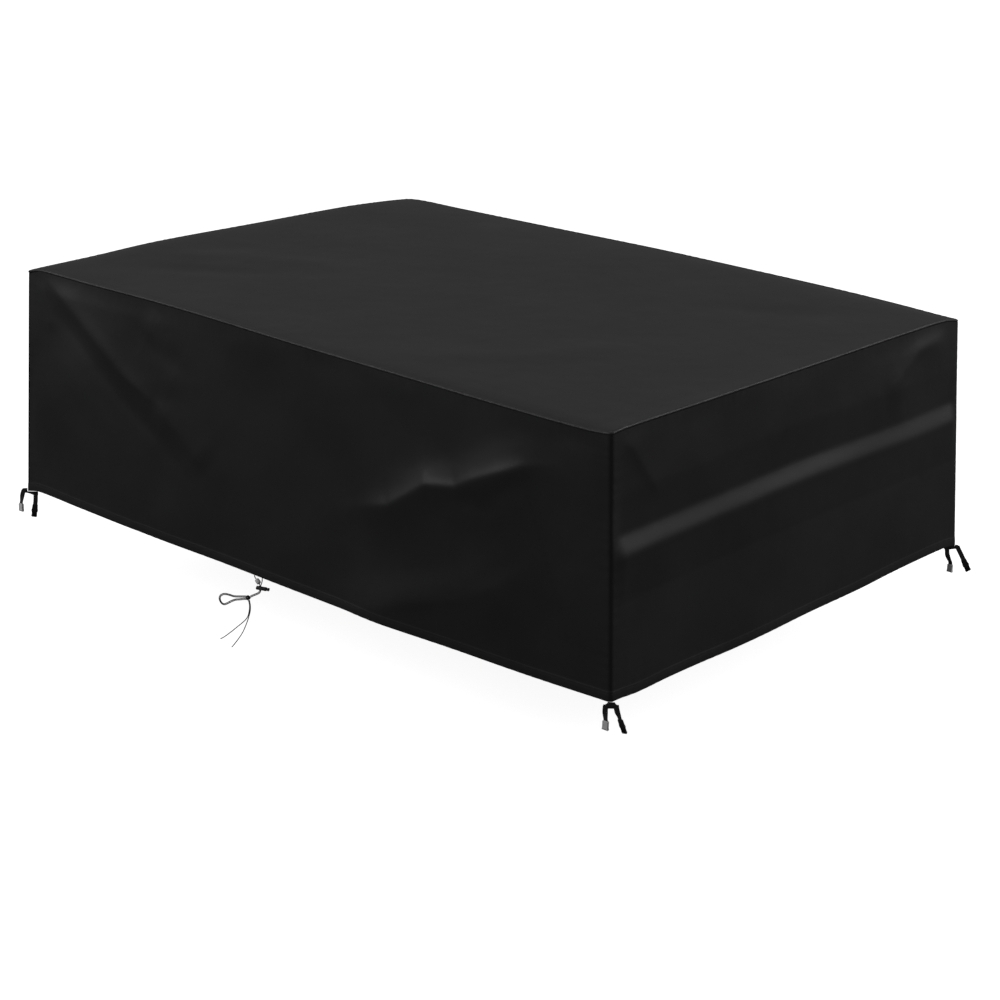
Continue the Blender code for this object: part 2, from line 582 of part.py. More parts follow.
def fitting_place(corner, across, depth, up):
    """A point near a hem corner, from millimetres along SPREAD, FACING and UP."""
    return hem_corner(corner) + (SPREAD * across + FACING * depth + UP * up) * MM


def make_tab(tab):
    turn = -1 if tab.mirrored else 1
    points = [(x * turn * MM, y * MM) for x, y in tab.outline]
    if tab.mirrored:
        points.reverse()
    place = axes(fitting_place(tab.corner, 0.0, tab.depth, 0.0), SPREAD, UP)
    return extruded_outline("corner_tab_" + tab.corner, points, TAB_THICKNESS, "webbing", place)


def strap_route(strap):
    """The strap's middle line, the heading of its lower end and the width direction at both ends."""
    tab = next(tab for tab in TABS if tab.corner == strap.corner)
    depth = tab.depth + tab.outward * STRAP_OFF_TAB / MM
    points = [fitting_place(strap.corner, x, depth, z) for x, z in strap.route]
    if strap.half == "socket":
        heading = -UP
        across = Vector((1.0, 0.0, 0.0))
    else:
        heading = (points[-1] - points[-2]).normalized()
        swing = Matrix.Rotation(math.radians(strap.turn), 3, heading)
        across = swing @ heading.cross(FACING).normalized()
    points.append(points[-1] + heading * POCKET_DEPTH)
    start = (points[1] - points[0]).normalized()
    return points, heading, start.cross(FACING).normalized(), across


def make_strap(strap):
    points, heading, first_across, last_across = strap_route(strap)
    line = spline_through(points, 6.0 * MM)
    if first_across.dot(last_across) < 0:
        last_across = -last_across
    rings = []
    for k, point in enumerate(line):
        tangent = line[min(k + 1, len(line) - 1)] - line[max(k - 1, 0)]
        tangent.normalize()
        if k == len(line) - 1:
            tangent = heading
        across = first_across.lerp(last_across, ease((k / (len(line) - 1) - 0.3) / 0.5))
        across = (across - tangent * across.dot(tangent)).normalized()
        through = tangent.cross(across)
        side, face = across * STRAP_WIDTH / 2, through * STRAP_THICKNESS / 2
        rings.append([point - side - face, point + side - face, point + side + face, point - side + face])
    return swept_solid(f"strap_{strap.half}_{strap.corner}", rings, "webbing")


def pocket(target, name):
    """The slot in the top of a buckle half that the strap is sewn into."""
    half = Vector((STRAP_WIDTH / 2 + CLEARANCE, 0.0, STRAP_THICKNESS / 2 + 1.5 * CLEARANCE))
    cut(target, name, Vector((-half.x, -POCKET_DEPTH - CLEARANCE, -half.z)), Vector((half.x, 1 * MM, half.z)))


def both_halves(half_outline):
    """Whole outline in metres from its right half, which starts and ends on the middle line."""
    right = [(x * MM, -y * MM) for x, y in half_outline[1:-1]]
    return right + [(0.0, -half_outline[-1][1] * MM)] + [(-x, y) for x, y in reversed(right)]


def make_socket(strap):
    """Female half: a flat box, open at its mouth below, with a window in each side for the barbs."""
    points, heading, _, across = strap_route(strap)
    name = "buckle_socket_" + strap.corner
    place = axes(points[-2], across, -heading)
    body = extruded_outline(name, both_halves(SOCKET_HALF_OUTLINE), SOCKET_THICKNESS, "grey_plastic", place)
    mouth = SOCKET_MOUTH
    cut(body, name + "_mouth", Vector((-mouth.x / 2, -SOCKET_HEIGHT - MM, -mouth.z / 2)),
        Vector((mouth.x / 2, -SOCKET_HEIGHT + mouth.y, mouth.z / 2)))
    middle = Vector((0.0, SOCKET_WINDOW_UP - SOCKET_HEIGHT, 0.0))
    cut(body, name + "_windows", middle - SOCKET_WINDOW / 2, middle + SOCKET_WINDOW / 2)
    pocket(body, name + "_pocket")
    return body


def make_tongue(strap):
    """Male half: a plate with two barbed side prongs and a guide between them."""
    points, heading, _, across = strap_route(strap)
    name = "buckle_tongue_" + strap.corner
    place = axes(points[-2], across, -heading)
    body = extruded_outline(name, both_halves(TONGUE_HALF_OUTLINE), TONGUE_THICKNESS, "black_plastic", place)
    pocket(body, name + "_pocket")
    return body


# ---------------------------------------------------------------- drawcord
def cord_exit():
    """The point that the drawcord is measured from, under the middle of the front hem's thickness."""
    plan, out = outline(0, EXIT_ALONG, 1.0)
    plan = plan - out * (SHEET + HEM_EXTRA) / 2
    return Vector((plan.x, plan.y, read_table(SIDES[0].hem, EXIT_ALONG) - EXIT_DROP))


def hanging(point):
    """A drawcord point from its millimetres along +X, towards -Y and up."""
    along, towards, up = point
    return cord_exit() + Vector((along, -towards, up)) * MM


def beside(points, offset):
    """A line that runs beside another, in the plane across LOCK_DEPTH_AXIS."""
    result = []
    for k, point in enumerate(points):
        tangent = points[min(k + 1, len(points) - 1)] - points[max(k - 1, 0)]
        result.append(point + tangent.cross(LOCK_DEPTH_AXIS).normalized() * offset)
    return result


def clear_of_knot(line):
    """The stretch of a finely spaced line, from its first point outside the knot, that stays clear of it."""
    centre = hanging(KNOT_CENTRE)

    def clear(point, tangent):
        side = tangent.orthogonal().normalized()
        other = tangent.cross(side).normalized()
        for k in range(12):
            turn = math.tau * k / 12
            rim = point + (side * math.cos(turn) + other * math.sin(turn)) * CORD_RADIUS - centre
            scaled = Vector((rim.x / (KNOT_SEMI_AXES.x + KNOT_GAP), rim.y / (KNOT_SEMI_AXES.y + KNOT_GAP),
                             rim.z / (KNOT_SEMI_AXES.z + KNOT_GAP)))
            if scaled.length < 1.0:
                return False
        return True

    kept = [point for point, following in zip(line, line[1:]) if clear(point, following - point)]
    return kept + [line[-1]] if clear(line[-1], line[-1] - line[-2]) else kept


def make_cord(name, line):
    curve = bpy.data.curves.new(name, "CURVE")
    curve.dimensions = "3D"
    curve.bevel_depth = CORD_RADIUS
    curve.bevel_resolution = 2
    curve.use_fill_caps = True
    spline = curve.splines.new("POLY")
    spline.points.add(len(line) - 1)
    for point, place in zip(spline.points, line):
        point.co = (*place, 1.0)
    curve.materials.append(bpy.data.materials["cord"])
    obj = bpy.data.objects.new(name, curve)
    bpy.context.scene.collection.objects.link(obj)
    obj.parent = bpy.data.objects["cover"]
    return obj


def fine_line(points):
    return spline_through([hanging(p) for p in points], FINE_STEP)


def make_cords():
    below = fine_line(STRANDS_BELOW_LOCK)
    for number, offset in (("1", -PAIR_OFFSET), ("2", PAIR_OFFSET)):
        above = [hanging(p) for p in STRAND_ABOVE_LOCK[number]]
        pair = [point for point in beside(below, offset)][::12]
        line = clear_of_knot(spline_through(above + pair, FINE_STEP))
        make_cord("cord_strand_" + number, evenly(line, CORD_STEP))
    loop = fine_line(LOOP)
    for number, offset in (("1", PAIR_OFFSET), ("2", -PAIR_OFFSET)):
        make_cord("cord_loop_" + number, evenly(clear_of_knot(beside(loop, offset)), CORD_STEP))
    for number, route in ENDS.items():
        make_cord("cord_end_" + number, evenly(clear_of_knot(fine_line(route)), CORD_STEP))


def make_knot():
    bm = bmesh.new()
    bmesh.ops.create_uvsphere(bm, u_segments=12, v_segments=8, radius=1.0)
    bmesh.ops.scale(bm, vec=KNOT_SEMI_AXES, verts=bm.verts)
    return new_object("cord_knot", bm, "cord", Matrix.Translation(hanging(KNOT_CENTRE)))


def make_bead():
    """A barrel bead with a bore that strand 2 runs through."""
    across = Vector((0.0, 1.0, 0.0))
    place = axes(hanging(BEAD_CENTRE), across.cross(BEAD_AXIS).normalized(), across)
    rings = []
    for k in range(12):
        turn = math.tau * k / 12
        rings.append([Vector((r * math.cos(turn), r * math.sin(turn), z)) * MM for r, z in BEAD_PROFILE])
    return swept_solid("cord_bead", rings, "pale_plastic", closed=True, place=place)


def lock_place():
    """The lock's own axes: X along its button, Y towards the front, Z up."""
    return axes(hanging(LOCK_CENTRE), LOCK_AXIS, LOCK_AXIS.cross(UP) * -1.0)


def barrel(start, stop, half_depth, half_height, chamfer):
    """Rings of a round or oval barrel along the lock's X."""
    rings = []
    for x, shrink in ((start, chamfer), (start + chamfer, 0), (stop - chamfer, 0), (stop, chamfer)):
        ring = []
        for k in range(16):
            turn = math.tau * (k + 0.5) / 16
            ring.append(Vector((x, (half_depth - shrink) * math.cos(turn),
                                (half_height - shrink) * math.sin(turn))) * MM)
        rings.append(ring)
    return rings


def make_lock_body():
    body = swept_solid("cord_lock_body", barrel(*LOCK_BODY, LOCK_HALF_DEPTH, LOCK_HALF_HEIGHT, 1.4),
                       "black_plastic", place=lock_place())
    bm = bmesh.new()
    rings = barrel(BORE_BOTTOM, LOCK_BODY[1] + 1.0, BORE_RADIUS, BORE_RADIUS, 0.01)
    loops = [[bm.verts.new(point) for point in ring] for ring in (rings[0], rings[-1])]
    for k in range(16):
        bm.faces.new((loops[0][k], loops[0][(k + 1) % 16], loops[1][(k + 1) % 16], loops[1][k]))
    bm.faces.new(loops[0][::-1])
    bm.faces.new(loops[1])
    cut_with(body, "lock_bore", bm)
    low = Vector((BODY_SLOT[0], -SLOT_WIDTH / 2, -LOCK_HALF_HEIGHT - 1)) * MM
    high = Vector((BODY_SLOT[1], SLOT_WIDTH / 2, LOCK_HALF_HEIGHT + 1)) * MM
    cut(body, "lock_slot", low, high)
    return body


def make_lock_button():
    """The sprung button; its origin is on the slide's axis."""
    head_start, head_stop = BUTTON_HEAD
    shaft = barrel(BUTTON_SHAFT_START, head_start, BUTTON_SHAFT_RADIUS, BUTTON_SHAFT_RADIUS, 0.4)[:3]
    head = barrel(head_start, head_stop, *BUTTON_HEAD_RADII, 0.9)[1:]
    joint = [Vector((head_start + 0.1, p.y / MM, p.z / MM)) * MM for p in barrel(0, 1, *BUTTON_HEAD_RADII, 0)[0]]
    neck = [Vector((head_start, p.y / MM, p.z / MM)) * MM for p in shaft[-1]]
    button = swept_solid("cord_lock_button", shaft[:2] + [neck, joint] + head, "black_plastic",
                         place=lock_place())
    low = Vector((BUTTON_SLOT[0], -SLOT_WIDTH / 2, -BUTTON_SHAFT_RADIUS - 1)) * MM
    high = Vector((BUTTON_SLOT[1], SLOT_WIDTH / 2, BUTTON_SHAFT_RADIUS + 1)) * MM
    cut(button, "button_slot", low, high)
    return button


# ---------------------------------------------------------------- the whole cover
def clear_scene():
    for obj in list(bpy.data.objects):
        bpy.data.objects.remove(obj, do_unlink=True)


def make_finishes():
    for name, finish in FINISHES.items():
        material = bpy.data.materials.new(name)
        material.use_nodes = True
        shader = material.node_tree.nodes["Principled BSDF"]
        shader.inputs["Base Color"].default_value = (*finish.colour, 1.0)
        shader.inputs["Roughness"].default_value = finish.roughness
        shader.inputs["Metallic"].default_value = 0.0


def main():
    clear_scene()
    make_finishes()
    bpy.context.scene.collection.objects.link(bpy.data.objects.new("cover", None))
    make_top()
    for index in range(4):
        make_wall(index)
    make_welt()
    for tab in TABS:
        make_tab(tab)
    for strap in STRAPS:
        make_strap(strap)
        if strap.half == "socket":
            make_socket(strap)
        else:
            make_tongue(strap)
    make_cords()
    make_knot()
    make_bead()
    make_lock_body()
    make_lock_button()


main()
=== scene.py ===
"""Looks of the fitted patio furniture cover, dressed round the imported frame: coated cloth panels on the folds
of their solids, a taped seam welt, a braided drawcord, webbing straps and moulded buckles.

Metres throughout; the tables marked mm are in millimetres. The tables that repeat part.py's are marked so.
"""

import math
from collections import namedtuple

import bmesh
import bpy
import numpy as np
from bpy.props import FloatProperty, FloatVectorProperty, PointerProperty
from mathutils import Matrix, Vector


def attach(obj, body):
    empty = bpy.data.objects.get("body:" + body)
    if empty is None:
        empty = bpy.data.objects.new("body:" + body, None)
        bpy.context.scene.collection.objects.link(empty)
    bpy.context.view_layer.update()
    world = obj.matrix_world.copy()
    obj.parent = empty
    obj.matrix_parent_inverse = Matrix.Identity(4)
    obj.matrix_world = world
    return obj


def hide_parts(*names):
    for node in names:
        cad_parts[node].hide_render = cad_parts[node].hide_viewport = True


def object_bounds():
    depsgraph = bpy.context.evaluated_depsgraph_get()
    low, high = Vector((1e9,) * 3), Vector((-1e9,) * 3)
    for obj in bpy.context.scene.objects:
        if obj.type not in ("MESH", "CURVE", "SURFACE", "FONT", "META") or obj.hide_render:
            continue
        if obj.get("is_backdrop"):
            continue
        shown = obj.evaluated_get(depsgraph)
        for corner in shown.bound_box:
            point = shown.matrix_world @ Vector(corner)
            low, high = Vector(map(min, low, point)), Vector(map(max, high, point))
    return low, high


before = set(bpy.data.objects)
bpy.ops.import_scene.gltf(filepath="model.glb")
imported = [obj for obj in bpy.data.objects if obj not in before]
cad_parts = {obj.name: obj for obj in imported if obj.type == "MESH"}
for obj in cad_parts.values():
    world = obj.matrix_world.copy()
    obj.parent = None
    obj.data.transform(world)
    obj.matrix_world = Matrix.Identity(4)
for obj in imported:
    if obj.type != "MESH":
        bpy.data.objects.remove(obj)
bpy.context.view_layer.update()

bl_info = {
    "name": "Patio furniture cover",
    "version": (1, 0, 0),
    "blender": (4, 5, 0),
    "location": "3D View > Sidebar > Cover",
    "description": "Dresses a fitted cloth cover with its seams, drawcord, straps and buckles",
    "category": "Add Mesh",
}

MM = 0.001
BODY = "cover"
UP = Vector((0.0, 0.0, 1.0))

# ---------------------------------------------------------------- sizes and tables repeated from part.py
SHEET = 2.0 * MM
HEM_EXTRA = 2.4 * MM
WELT_RADIUS = 4.3 * MM
WELT_INSET = 3.3 * MM
WALL_DROP = 7.9 * MM
RIM_INSET = 8.1 * MM
RIM_DROP = 1.5 * MM

Corner = namedtuple("Corner", "top hem top_radius hem_radius")
CORNERS = {
    "A": Corner((-1.2134, -0.8889), (-1.2332, -0.9057), 0.018, 0.014),
    "D": Corner((1.195, -0.879), (1.244, -0.890), 0.016, 0.014),
    "C": Corner((1.1907, 0.871), (1.2363, 0.9059), 0.016, 0.014),
    "B": Corner((-1.191, 0.885), (-1.225, 0.900), 0.018, 0.014),
}

Side = namedtuple("Side", "name first last length crown hem")
SIDES = (
    Side("front", "A", "D", 2.404, ((0.0, 0.0027), (0.06, 0.017), (0.16, 0.019), (0.3, 0.018), (0.57, 0.02),
        (0.8, 0.018), (1.23, 0.008), (1.63, 0.002), (2.0, -0.004), (2.32, -0.005), (2.404, 0.001)), ((0.0, -0.75),
        (0.07, -0.738), (0.26, -0.7415), (0.63, -0.748), (1.19, -0.756), (1.61, -0.757), (2.0, -0.755),
        (2.27, -0.751), (2.404, -0.748))),
    Side("right", "D", "C", 1.745, ((0.0, 0.001), (0.06, 0.006), (0.38, 0.007), (0.96, 0.009), (1.45, 0.012),
        (1.66, 0.01), (1.745, -0.004)), ((0.0, -0.748), (0.03, -0.7485), (0.12, -0.7535), (0.25, -0.7507),
        (0.4, -0.7513), (0.57, -0.755), (0.75, -0.7568), (0.95, -0.7525), (1.1, -0.7508), (1.22, -0.7495),
        (1.36, -0.7452), (1.5, -0.744), (1.68, -0.7475), (1.745, -0.756))),
    Side("back", "C", "B", 2.376, ((0.0, -0.004), (0.08, -0.002), (0.2, 0.0028), (0.38, 0.0078), (0.55, 0.0102),
        (0.8, 0.0117), (1.2, 0.013), (1.64, 0.008), (2.12, 0.0032), (2.3, 0.0024), (2.376, -0.0025)),
        ((0.0, -0.756), (0.1, -0.747), (0.6, -0.752), (1.2, -0.755), (1.8, -0.749), (2.28, -0.746),
        (2.376, -0.752))),
    Side("left", "B", "A", 1.77, ((0.0, -0.0025), (0.13, 0.006), (0.34, 0.014), (0.77, 0.016), (1.23, 0.018),
        (1.5, 0.0094), (1.7, 0.005), (1.77, 0.0027)), ((0.0, -0.752), (0.09, -0.743), (0.6, -0.75), (1.1, -0.754),
        (1.68, -0.742), (1.77, -0.75))),
)

Fold = namedtuple("Fold", "side out width route")
FOLDS = (
    Fold("front", -0.013, 0.034, ((0.072, -0.016), (0.136, -0.1), (0.284, -0.188), (0.477, -0.327), (0.643, -0.42),
        (0.76, -0.507))),
    Fold("front", 0.008, 0.036, ((0.137, -0.03), (0.236, -0.083), (0.381, -0.168), (0.525, -0.268),
        (0.689, -0.361))),
    Fold("front", 0.006, 0.05, ((0.06, -0.16), (0.2, -0.27), (0.38, -0.4), (0.56, -0.52))),
    Fold("front", -0.006, 0.034, ((0.571, -0.098), (0.664, -0.143), (0.756, -0.172))),
    Fold("front", 0.007, 0.036, ((1.64, -0.31), (1.87, -0.226), (1.978, -0.166), (2.075, -0.112), (2.171, -0.104))),
    Fold("front", -0.008, 0.036, ((1.84, -0.3), (1.976, -0.3), (2.037, -0.244), (2.14, -0.19))),
    Fold("front", 0.008, 0.042, ((1.453, -0.707), (1.661, -0.638), (1.878, -0.554), (1.996, -0.457),
        (2.091, -0.357))),
    Fold("front", -0.007, 0.038, ((1.604, -0.722), (1.74, -0.67), (1.873, -0.62), (1.99, -0.56))),
    Fold("right", -0.006, 0.032, ((1.64, -0.03), (1.56, -0.065), (1.479, -0.095), (1.34, -0.15))),
    Fold("back", -0.008, 0.05, ((2.28, -0.03), (2.12, -0.15), (1.9, -0.3), (1.7, -0.43))),
    Fold("back", 0.006, 0.055, ((0.12, -0.04), (0.3, -0.19), (0.56, -0.36), (0.76, -0.52))),
    Fold("left", -0.008, 0.05, ((1.69, -0.03), (1.56, -0.14), (1.38, -0.3), (1.22, -0.45))),
    Fold("left", 0.006, 0.055, ((0.12, -0.05), (0.28, -0.2), (0.48, -0.38))),
)
CORNER_FADE = 0.055
BAND_LEVEL = (
    (0.0, -0.31), (0.392, -0.299), (0.877, -0.288), (1.417, -0.289), (1.745, -0.284),
)
SLACK = ((0.0022, 0.83, 0.55, 0.4), (0.0013, 0.47, 0.38, 2.1))
TopFold = namedtuple("TopFold", "rise width route")
TOP_FOLDS = (
    TopFold(-0.004, 0.06, ((-1.12, -0.78), (-0.9, -0.58), (-0.62, -0.38))),
    TopFold(0.003, 0.07, ((-1.08, -0.5), (-0.86, -0.3), (-0.55, -0.12))),
    TopFold(-0.003, 0.07, ((1.1, 0.74), (0.86, 0.52), (0.58, 0.36))),
    TopFold(0.003, 0.08, ((0.3, -0.72), (0.55, -0.45), (0.72, -0.12))),
)

CORD_RADIUS = 1.5 * MM
PAIR_OFFSET = 1.8 * MM
EXIT_ALONG = 1.0935
EXIT_DROP = 4.4 * MM
STRAND_ABOVE_LOCK = {
    "1": ((-3.0, 0, 3.6), (-3.2, -0.1, -5), (-6.0, -0.3, -14), (-9.2, -0.55, -21), (-9.9, -0.58, -26),
        (-9.9, -0.58, -36.7)),
    "2": ((-36.8, 0, 3.6), (-36.5, 0, 0.6), (-33.8, 0, -2.9), (-29.4, 0, -6.2), (-22, 0, -12), (-15.2, 0, -17.4),
        (-13.6, 0.4, -20.4), (-13.1, 0.58, -24.6), (-13.1, 0.58, -36.7)),
}
STRANDS_BELOW_LOCK = (
    (-12.8, 0, -42.2), (-17, 0, -47.6), (-24, 0, -52.6), (-33, 0.5, -58), (-43, 1, -63.8), (-52, 1, -69.4),
    (-60, 1, -75),
)
LOOP = (
    (-62, 1, -74.5), (-72, 1, -75.5), (-86, 1, -79.0), (-102.4, 1.5, -83.4), (-118, 2, -87.4), (-131, 2.5, -89.4),
    (-145, 3, -89.8), (-160, 3.5, -91), (-174, 4, -95), (-185, 4, -102.6), (-190, 4, -112), (-187, 4, -121.5),
    (-178.5, 3.5, -127.5), (-167, 3, -126.5), (-150.9, 2.5, -116.8), (-135, 2, -106.5), (-118, 2, -97.9),
    (-102.5, 1.5, -92.9), (-86, 1, -87.0), (-72, 1, -83.0), (-62, 1, -82),
)
ENDS = {
    "1": ((-64, 1, -82), (-61.0, 1, -90), (-58.8, 1, -98), (-58.4, 1, -109), (-60.4, 1, -121), (-64.5, 1, -135),
        (-73, 1.5, -149.5), (-88.5, 2.5, -165.5), (-110, 4, -185), (-131, 5, -204), (-151.5, 6, -221.5),
        (-168, 6.5, -235), (-184, 7, -246)),
    "2": ((-59.5, 1, -82), (-57.2, 1, -90), (-55.2, 1, -98), (-54.8, 1, -109.5), (-56.4, 1, -122), (-60.6, 1, -135),
        (-66, 0.5, -149), (-74.5, 0, -167.5), (-88.5, -1, -194), (-100, -2, -211), (-112, -2, -227.5),
        (-128, -2.5, -247), (-143.5, -3, -265)),
}
KNOT_CENTRE = (-64.4, 1, -78.8)
KNOT_SEMI_AXES = np.array((7.5, 6.5, 9.5)) * MM
BEAD_CENTRE = (-22, 0, -12)
BEAD_AXIS = Vector((0.783, 0.0, -0.622))
BEAD_PROFILE = ((2.5, -8.0), (5.6, -8.0), (6.8, -6.2), (7.3, 0.0), (6.8, 6.2), (5.6, 8.0), (2.5, 8.0))
LOCK_CENTRE = (-11.5, 0, -31.5)
LOCK_TURN = math.radians(20.0)
LOCK_AXIS = Vector((math.cos(LOCK_TURN), math.sin(LOCK_TURN), 0.0))
LOCK_DEPTH_AXIS = Vector((math.sin(LOCK_TURN), -math.cos(LOCK_TURN), 0.0))
BODY_SLOT = ((-4.4, -2.0, -8.0), (4.4, 2.0, 8.0))
BUTTON_SLOT = ((-4.4, -2.0, -8.0), (8.4, 2.0, 8.0))

SPREAD = Vector((math.cos(math.radians(41.2)), math.sin(math.radians(41.2)), 0.0))
FACING = SPREAD.cross(UP)
STRAP_WIDTH = 15.0
STRAP_THICKNESS = 1.5
STRAP_OFF_TAB = 2.05
FRONT_TAB = (
    (-8.4, -0.8), (11.5, -1.3), (13, -5), (21, -12), (22, -19), (12, -21.5), (9, -20), (-4, -20), (-8, -21.5),
    (-20.5, -20), (-21.5, -12), (-10, -5),
)
LEFT_TAB = (
    (-15, -4.5), (-15, 4.5), (-10, 10), (3.2, 11), (3.2, -0.7), (38.5, -0.7), (38.5, -13), (23, -13), (10, -8),
    (0, -6),
)
RIGHT_TAB = (
    (-38.5, -13), (-38.5, -0.7), (-3.2, -0.7), (-3.2, 3), (5, 3), (11, -3), (9, -11), (-2, -11), (-12, -12.5),
    (-22, -14),
)
Tab = namedtuple("Tab", "corner depth outward mirrored outline")
TABS = (
    Tab("A", 0.0, 1, False, LEFT_TAB),
    Tab("D", -7.0, 1, False, FRONT_TAB),
    Tab("C", 0.0, 1, False, RIGHT_TAB),
    Tab("B", 7.0, -1, True, FRONT_TAB),
)
Strap = namedtuple("Strap", "corner half turn route")
STRAPS = (
    Strap("A", "socket", 0, ((-6, 5), (-10, 0), (-13.5, -12), (-15.8, -24), (-17.5, -35), (-18.8, -43))),
    Strap("A", "tongue", 0, ((30.5, -4.5), (30.2, -18), (29.5, -32), (27.8, -46))),
    Strap("D", "socket", 0, ((-12.5, -8.5), (-14.2, -20), (-13.6, -36), (-12.4, -47), (-11.4, -55))),
    Strap("D", "tongue", 45, ((14.5, -8.5), (16.5, -19), (19.4, -30), (23.5, -40), (27.3, -50.5))),
    Strap("C", "socket", 0, ((-29.5, -5), (-28, -18), (-26, -31), (-20.5, -44), (-15.3, -54), (-13.7, -60),
        (-13.5, -63.5))),
    Strap("C", "tongue", 0, ((3.5, -1.5), (8.5, -11.5), (14.5, -22), (21, -34), (27.5, -46.5))),
)
# Corner B, hidden in the photo, mirrors corner D.
STRAPS += tuple(Strap("B", strap.half, -strap.turn, tuple((-x, z) for x, z in strap.route))
                for strap in STRAPS if strap.corner == "D")
POCKET_DEPTH = 6.0
SOCKET_HALF_OUTLINE = (
    (0, 0), (7.4, 0), (9.2, 2), (9.0, 18.5), (10.1, 24.5), (9.9, 27), (7.6, 27), (5, 25), (0, 25),
)
TONGUE_HALF_OUTLINE = (
    (0, 0), (8.5, 0), (8.8, 2), (9.4, 14), (10.7, 20), (10.3, 24), (9.0, 25.2), (8.6, 35), (9.6, 37.5), (9.4, 40),
    (7.2, 44), (5.6, 43), (5.8, 39), (5.4, 27), (4.6, 25.7), (1.3, 25.7), (1.3, 39.5), (0, 40.6),
)

# ---------------------------------------------------------------- camera, finishes and finer forms of the looks
CAMERA_PLACE = (4.89, -5.6276, 1.8674)
CAMERA_RIGHT = Vector((0.75208, 0.6584, 0.02987))
CAMERA_UP = Vector((-0.23503, 0.22559, 0.94545))
CAMERA_LENS = 86.72
PANEL_SIZE = 3.0
PANELS = {"right": ((4.6, 3.9, 2.9), (1.2, 0.0, -0.3)), "left": ((-4.0, -4.8, 2.9), (-0.4, -0.9, -0.3))}
FLOOR_HALF = 40.0
FLOOR_GLOW = 0.92
SOFT_GLOSS = 0.25           # Specular IOR Level of the cloth, the cords and the webbing
STITCH_SHARE = 0.72         # share of a stitch's length that shows
HEM_STITCH = 25.0 * MM      # height of the stitch row above the hem's lower edge
KNOT_SPAN = (1.9, 3.0, 2.4)  # mm, sizes of the knot's lobes along, towards and up
KNOT_RISE = 1.0             # mm, middle of those lobes above the knot's centre
KNOT_PAIR = 1.25            # mm, each of its two cords from their middle line
KNOT_CORD = 1.35 * MM       # their radius, pulled tight
KNOT_SIDES = 12
CORD_STEP = 0.4 * MM        # spacing of points on a cord's route
PIECE_STEP = 1.2 * MM       # spacing of the rings of cords and straps
CORD_SIDES = 14
BARREL_SIDES = 40
BEAD_SIDES = 36
CELL = {"front": 7.5 * MM, "right": 7.5 * MM, "back": 12.0 * MM, "left": 12.0 * MM, "top": 10.0 * MM}
CORNER_CELLS = 14
# Creases: out in metres; left and right are the widths of their two flanks, seen along the route; soft rounds
# the crest, from 0, a sharp line, to 1.
Crease = namedtuple("Crease", "side out left right soft route")
CREASES = (
    Crease("front", 0.013, 0.08, 0.032, 0.25, ((0.075, 0.012), (0.107, 0.0), (0.165, -0.04), (0.238, -0.083),
        (0.356, -0.158), (0.475, -0.233), (0.586, -0.281), (0.69, -0.318))),
    Crease("front", 0.01, 0.07, 0.04, 0.35, ((0.61, -0.315), (0.665, -0.335), (0.72, -0.365), (0.79, -0.42),
        (0.86, -0.48))),
    Crease("front", 0.006, 0.06, 0.045, 0.4, ((0.54, -0.055), (0.6, -0.075), (0.655, -0.13), (0.675, -0.2),
        (0.69, -0.29))),
    Crease("front", 0.009, 0.26, 0.11, 0.5, ((0.04, -0.27), (0.2, -0.44), (0.4, -0.58), (0.62, -0.675))),
    Crease("front", 0.004, 0.03, 0.016, 0.3, ((0.055, -0.01), (0.085, -0.055), (0.11, -0.12), (0.12, -0.19))),
    Crease("front", 0.026, 0.04, 0.13, 0.14, ((1.45, -0.44), (1.62, -0.385), (1.76, -0.29), (1.87, -0.272),
        (1.93, -0.237), (2.1, -0.16), (2.2, -0.135))),
    Crease("front", 0.018, 0.06, 0.12, 0.35, ((1.4, -0.77), (1.52, -0.735), (1.7, -0.665), (1.9, -0.6),
        (2.02, -0.53), (2.15, -0.42))),
    Crease("right", 0.012, 0.045, 0.075, 0.3, ((1.3, -0.165), (1.38, -0.135), (1.44, -0.095), (1.5, -0.06),
        (1.6, -0.045), (1.68, -0.02))),
    Crease("right", 0.004, 0.04, 0.02, 0.3, ((0.03, -0.01), (0.09, -0.06), (0.16, -0.15), (0.22, -0.23))),
    Crease("back", 0.008, 0.05, 0.09, 0.3, ((2.31, -0.01), (2.18, -0.08), (2.04, -0.19), (1.86, -0.3))),
    Crease("back", 0.008, 0.09, 0.04, 0.3, ((0.06, -0.01), (0.18, -0.1), (0.33, -0.22), (0.52, -0.33))),
    Crease("left", 0.007, 0.05, 0.09, 0.3, ((1.71, -0.01), (1.6, -0.09), (1.48, -0.2), (1.33, -0.29))),
    Crease("left", 0.007, 0.09, 0.04, 0.3, ((0.06, -0.01), (0.16, -0.1), (0.27, -0.23))),
)
FOLD_SHARE = 0.35           # share of the solids' own folds, beside which the creases above stand
TOP_FADE = 0.075            # folds die out this near the top edge, further than in part.py
# The right wall's band, finer than in part.py: (metres below BAND_LEVEL, metres out).
BAND_PROFILE = (
    (-0.13, 0.0), (-0.028, -0.0065), (-0.014, -0.006), (0.03, 0.0085), (0.042, 0.0105), (0.056, 0.0095),
    (0.17, 0.0),
)
SEAM_GROOVE = 0.5 * MM      # how far an upright seam is drawn in
CORNER_ROLL = 4.5 * MM      # how far the cloth rolls back towards corner A
PUCKER = 0.8 * MM           # ripples that the stitching draws into the cloth
PUCKER_LENGTH = 0.034
PUCKER_REACH = 0.026
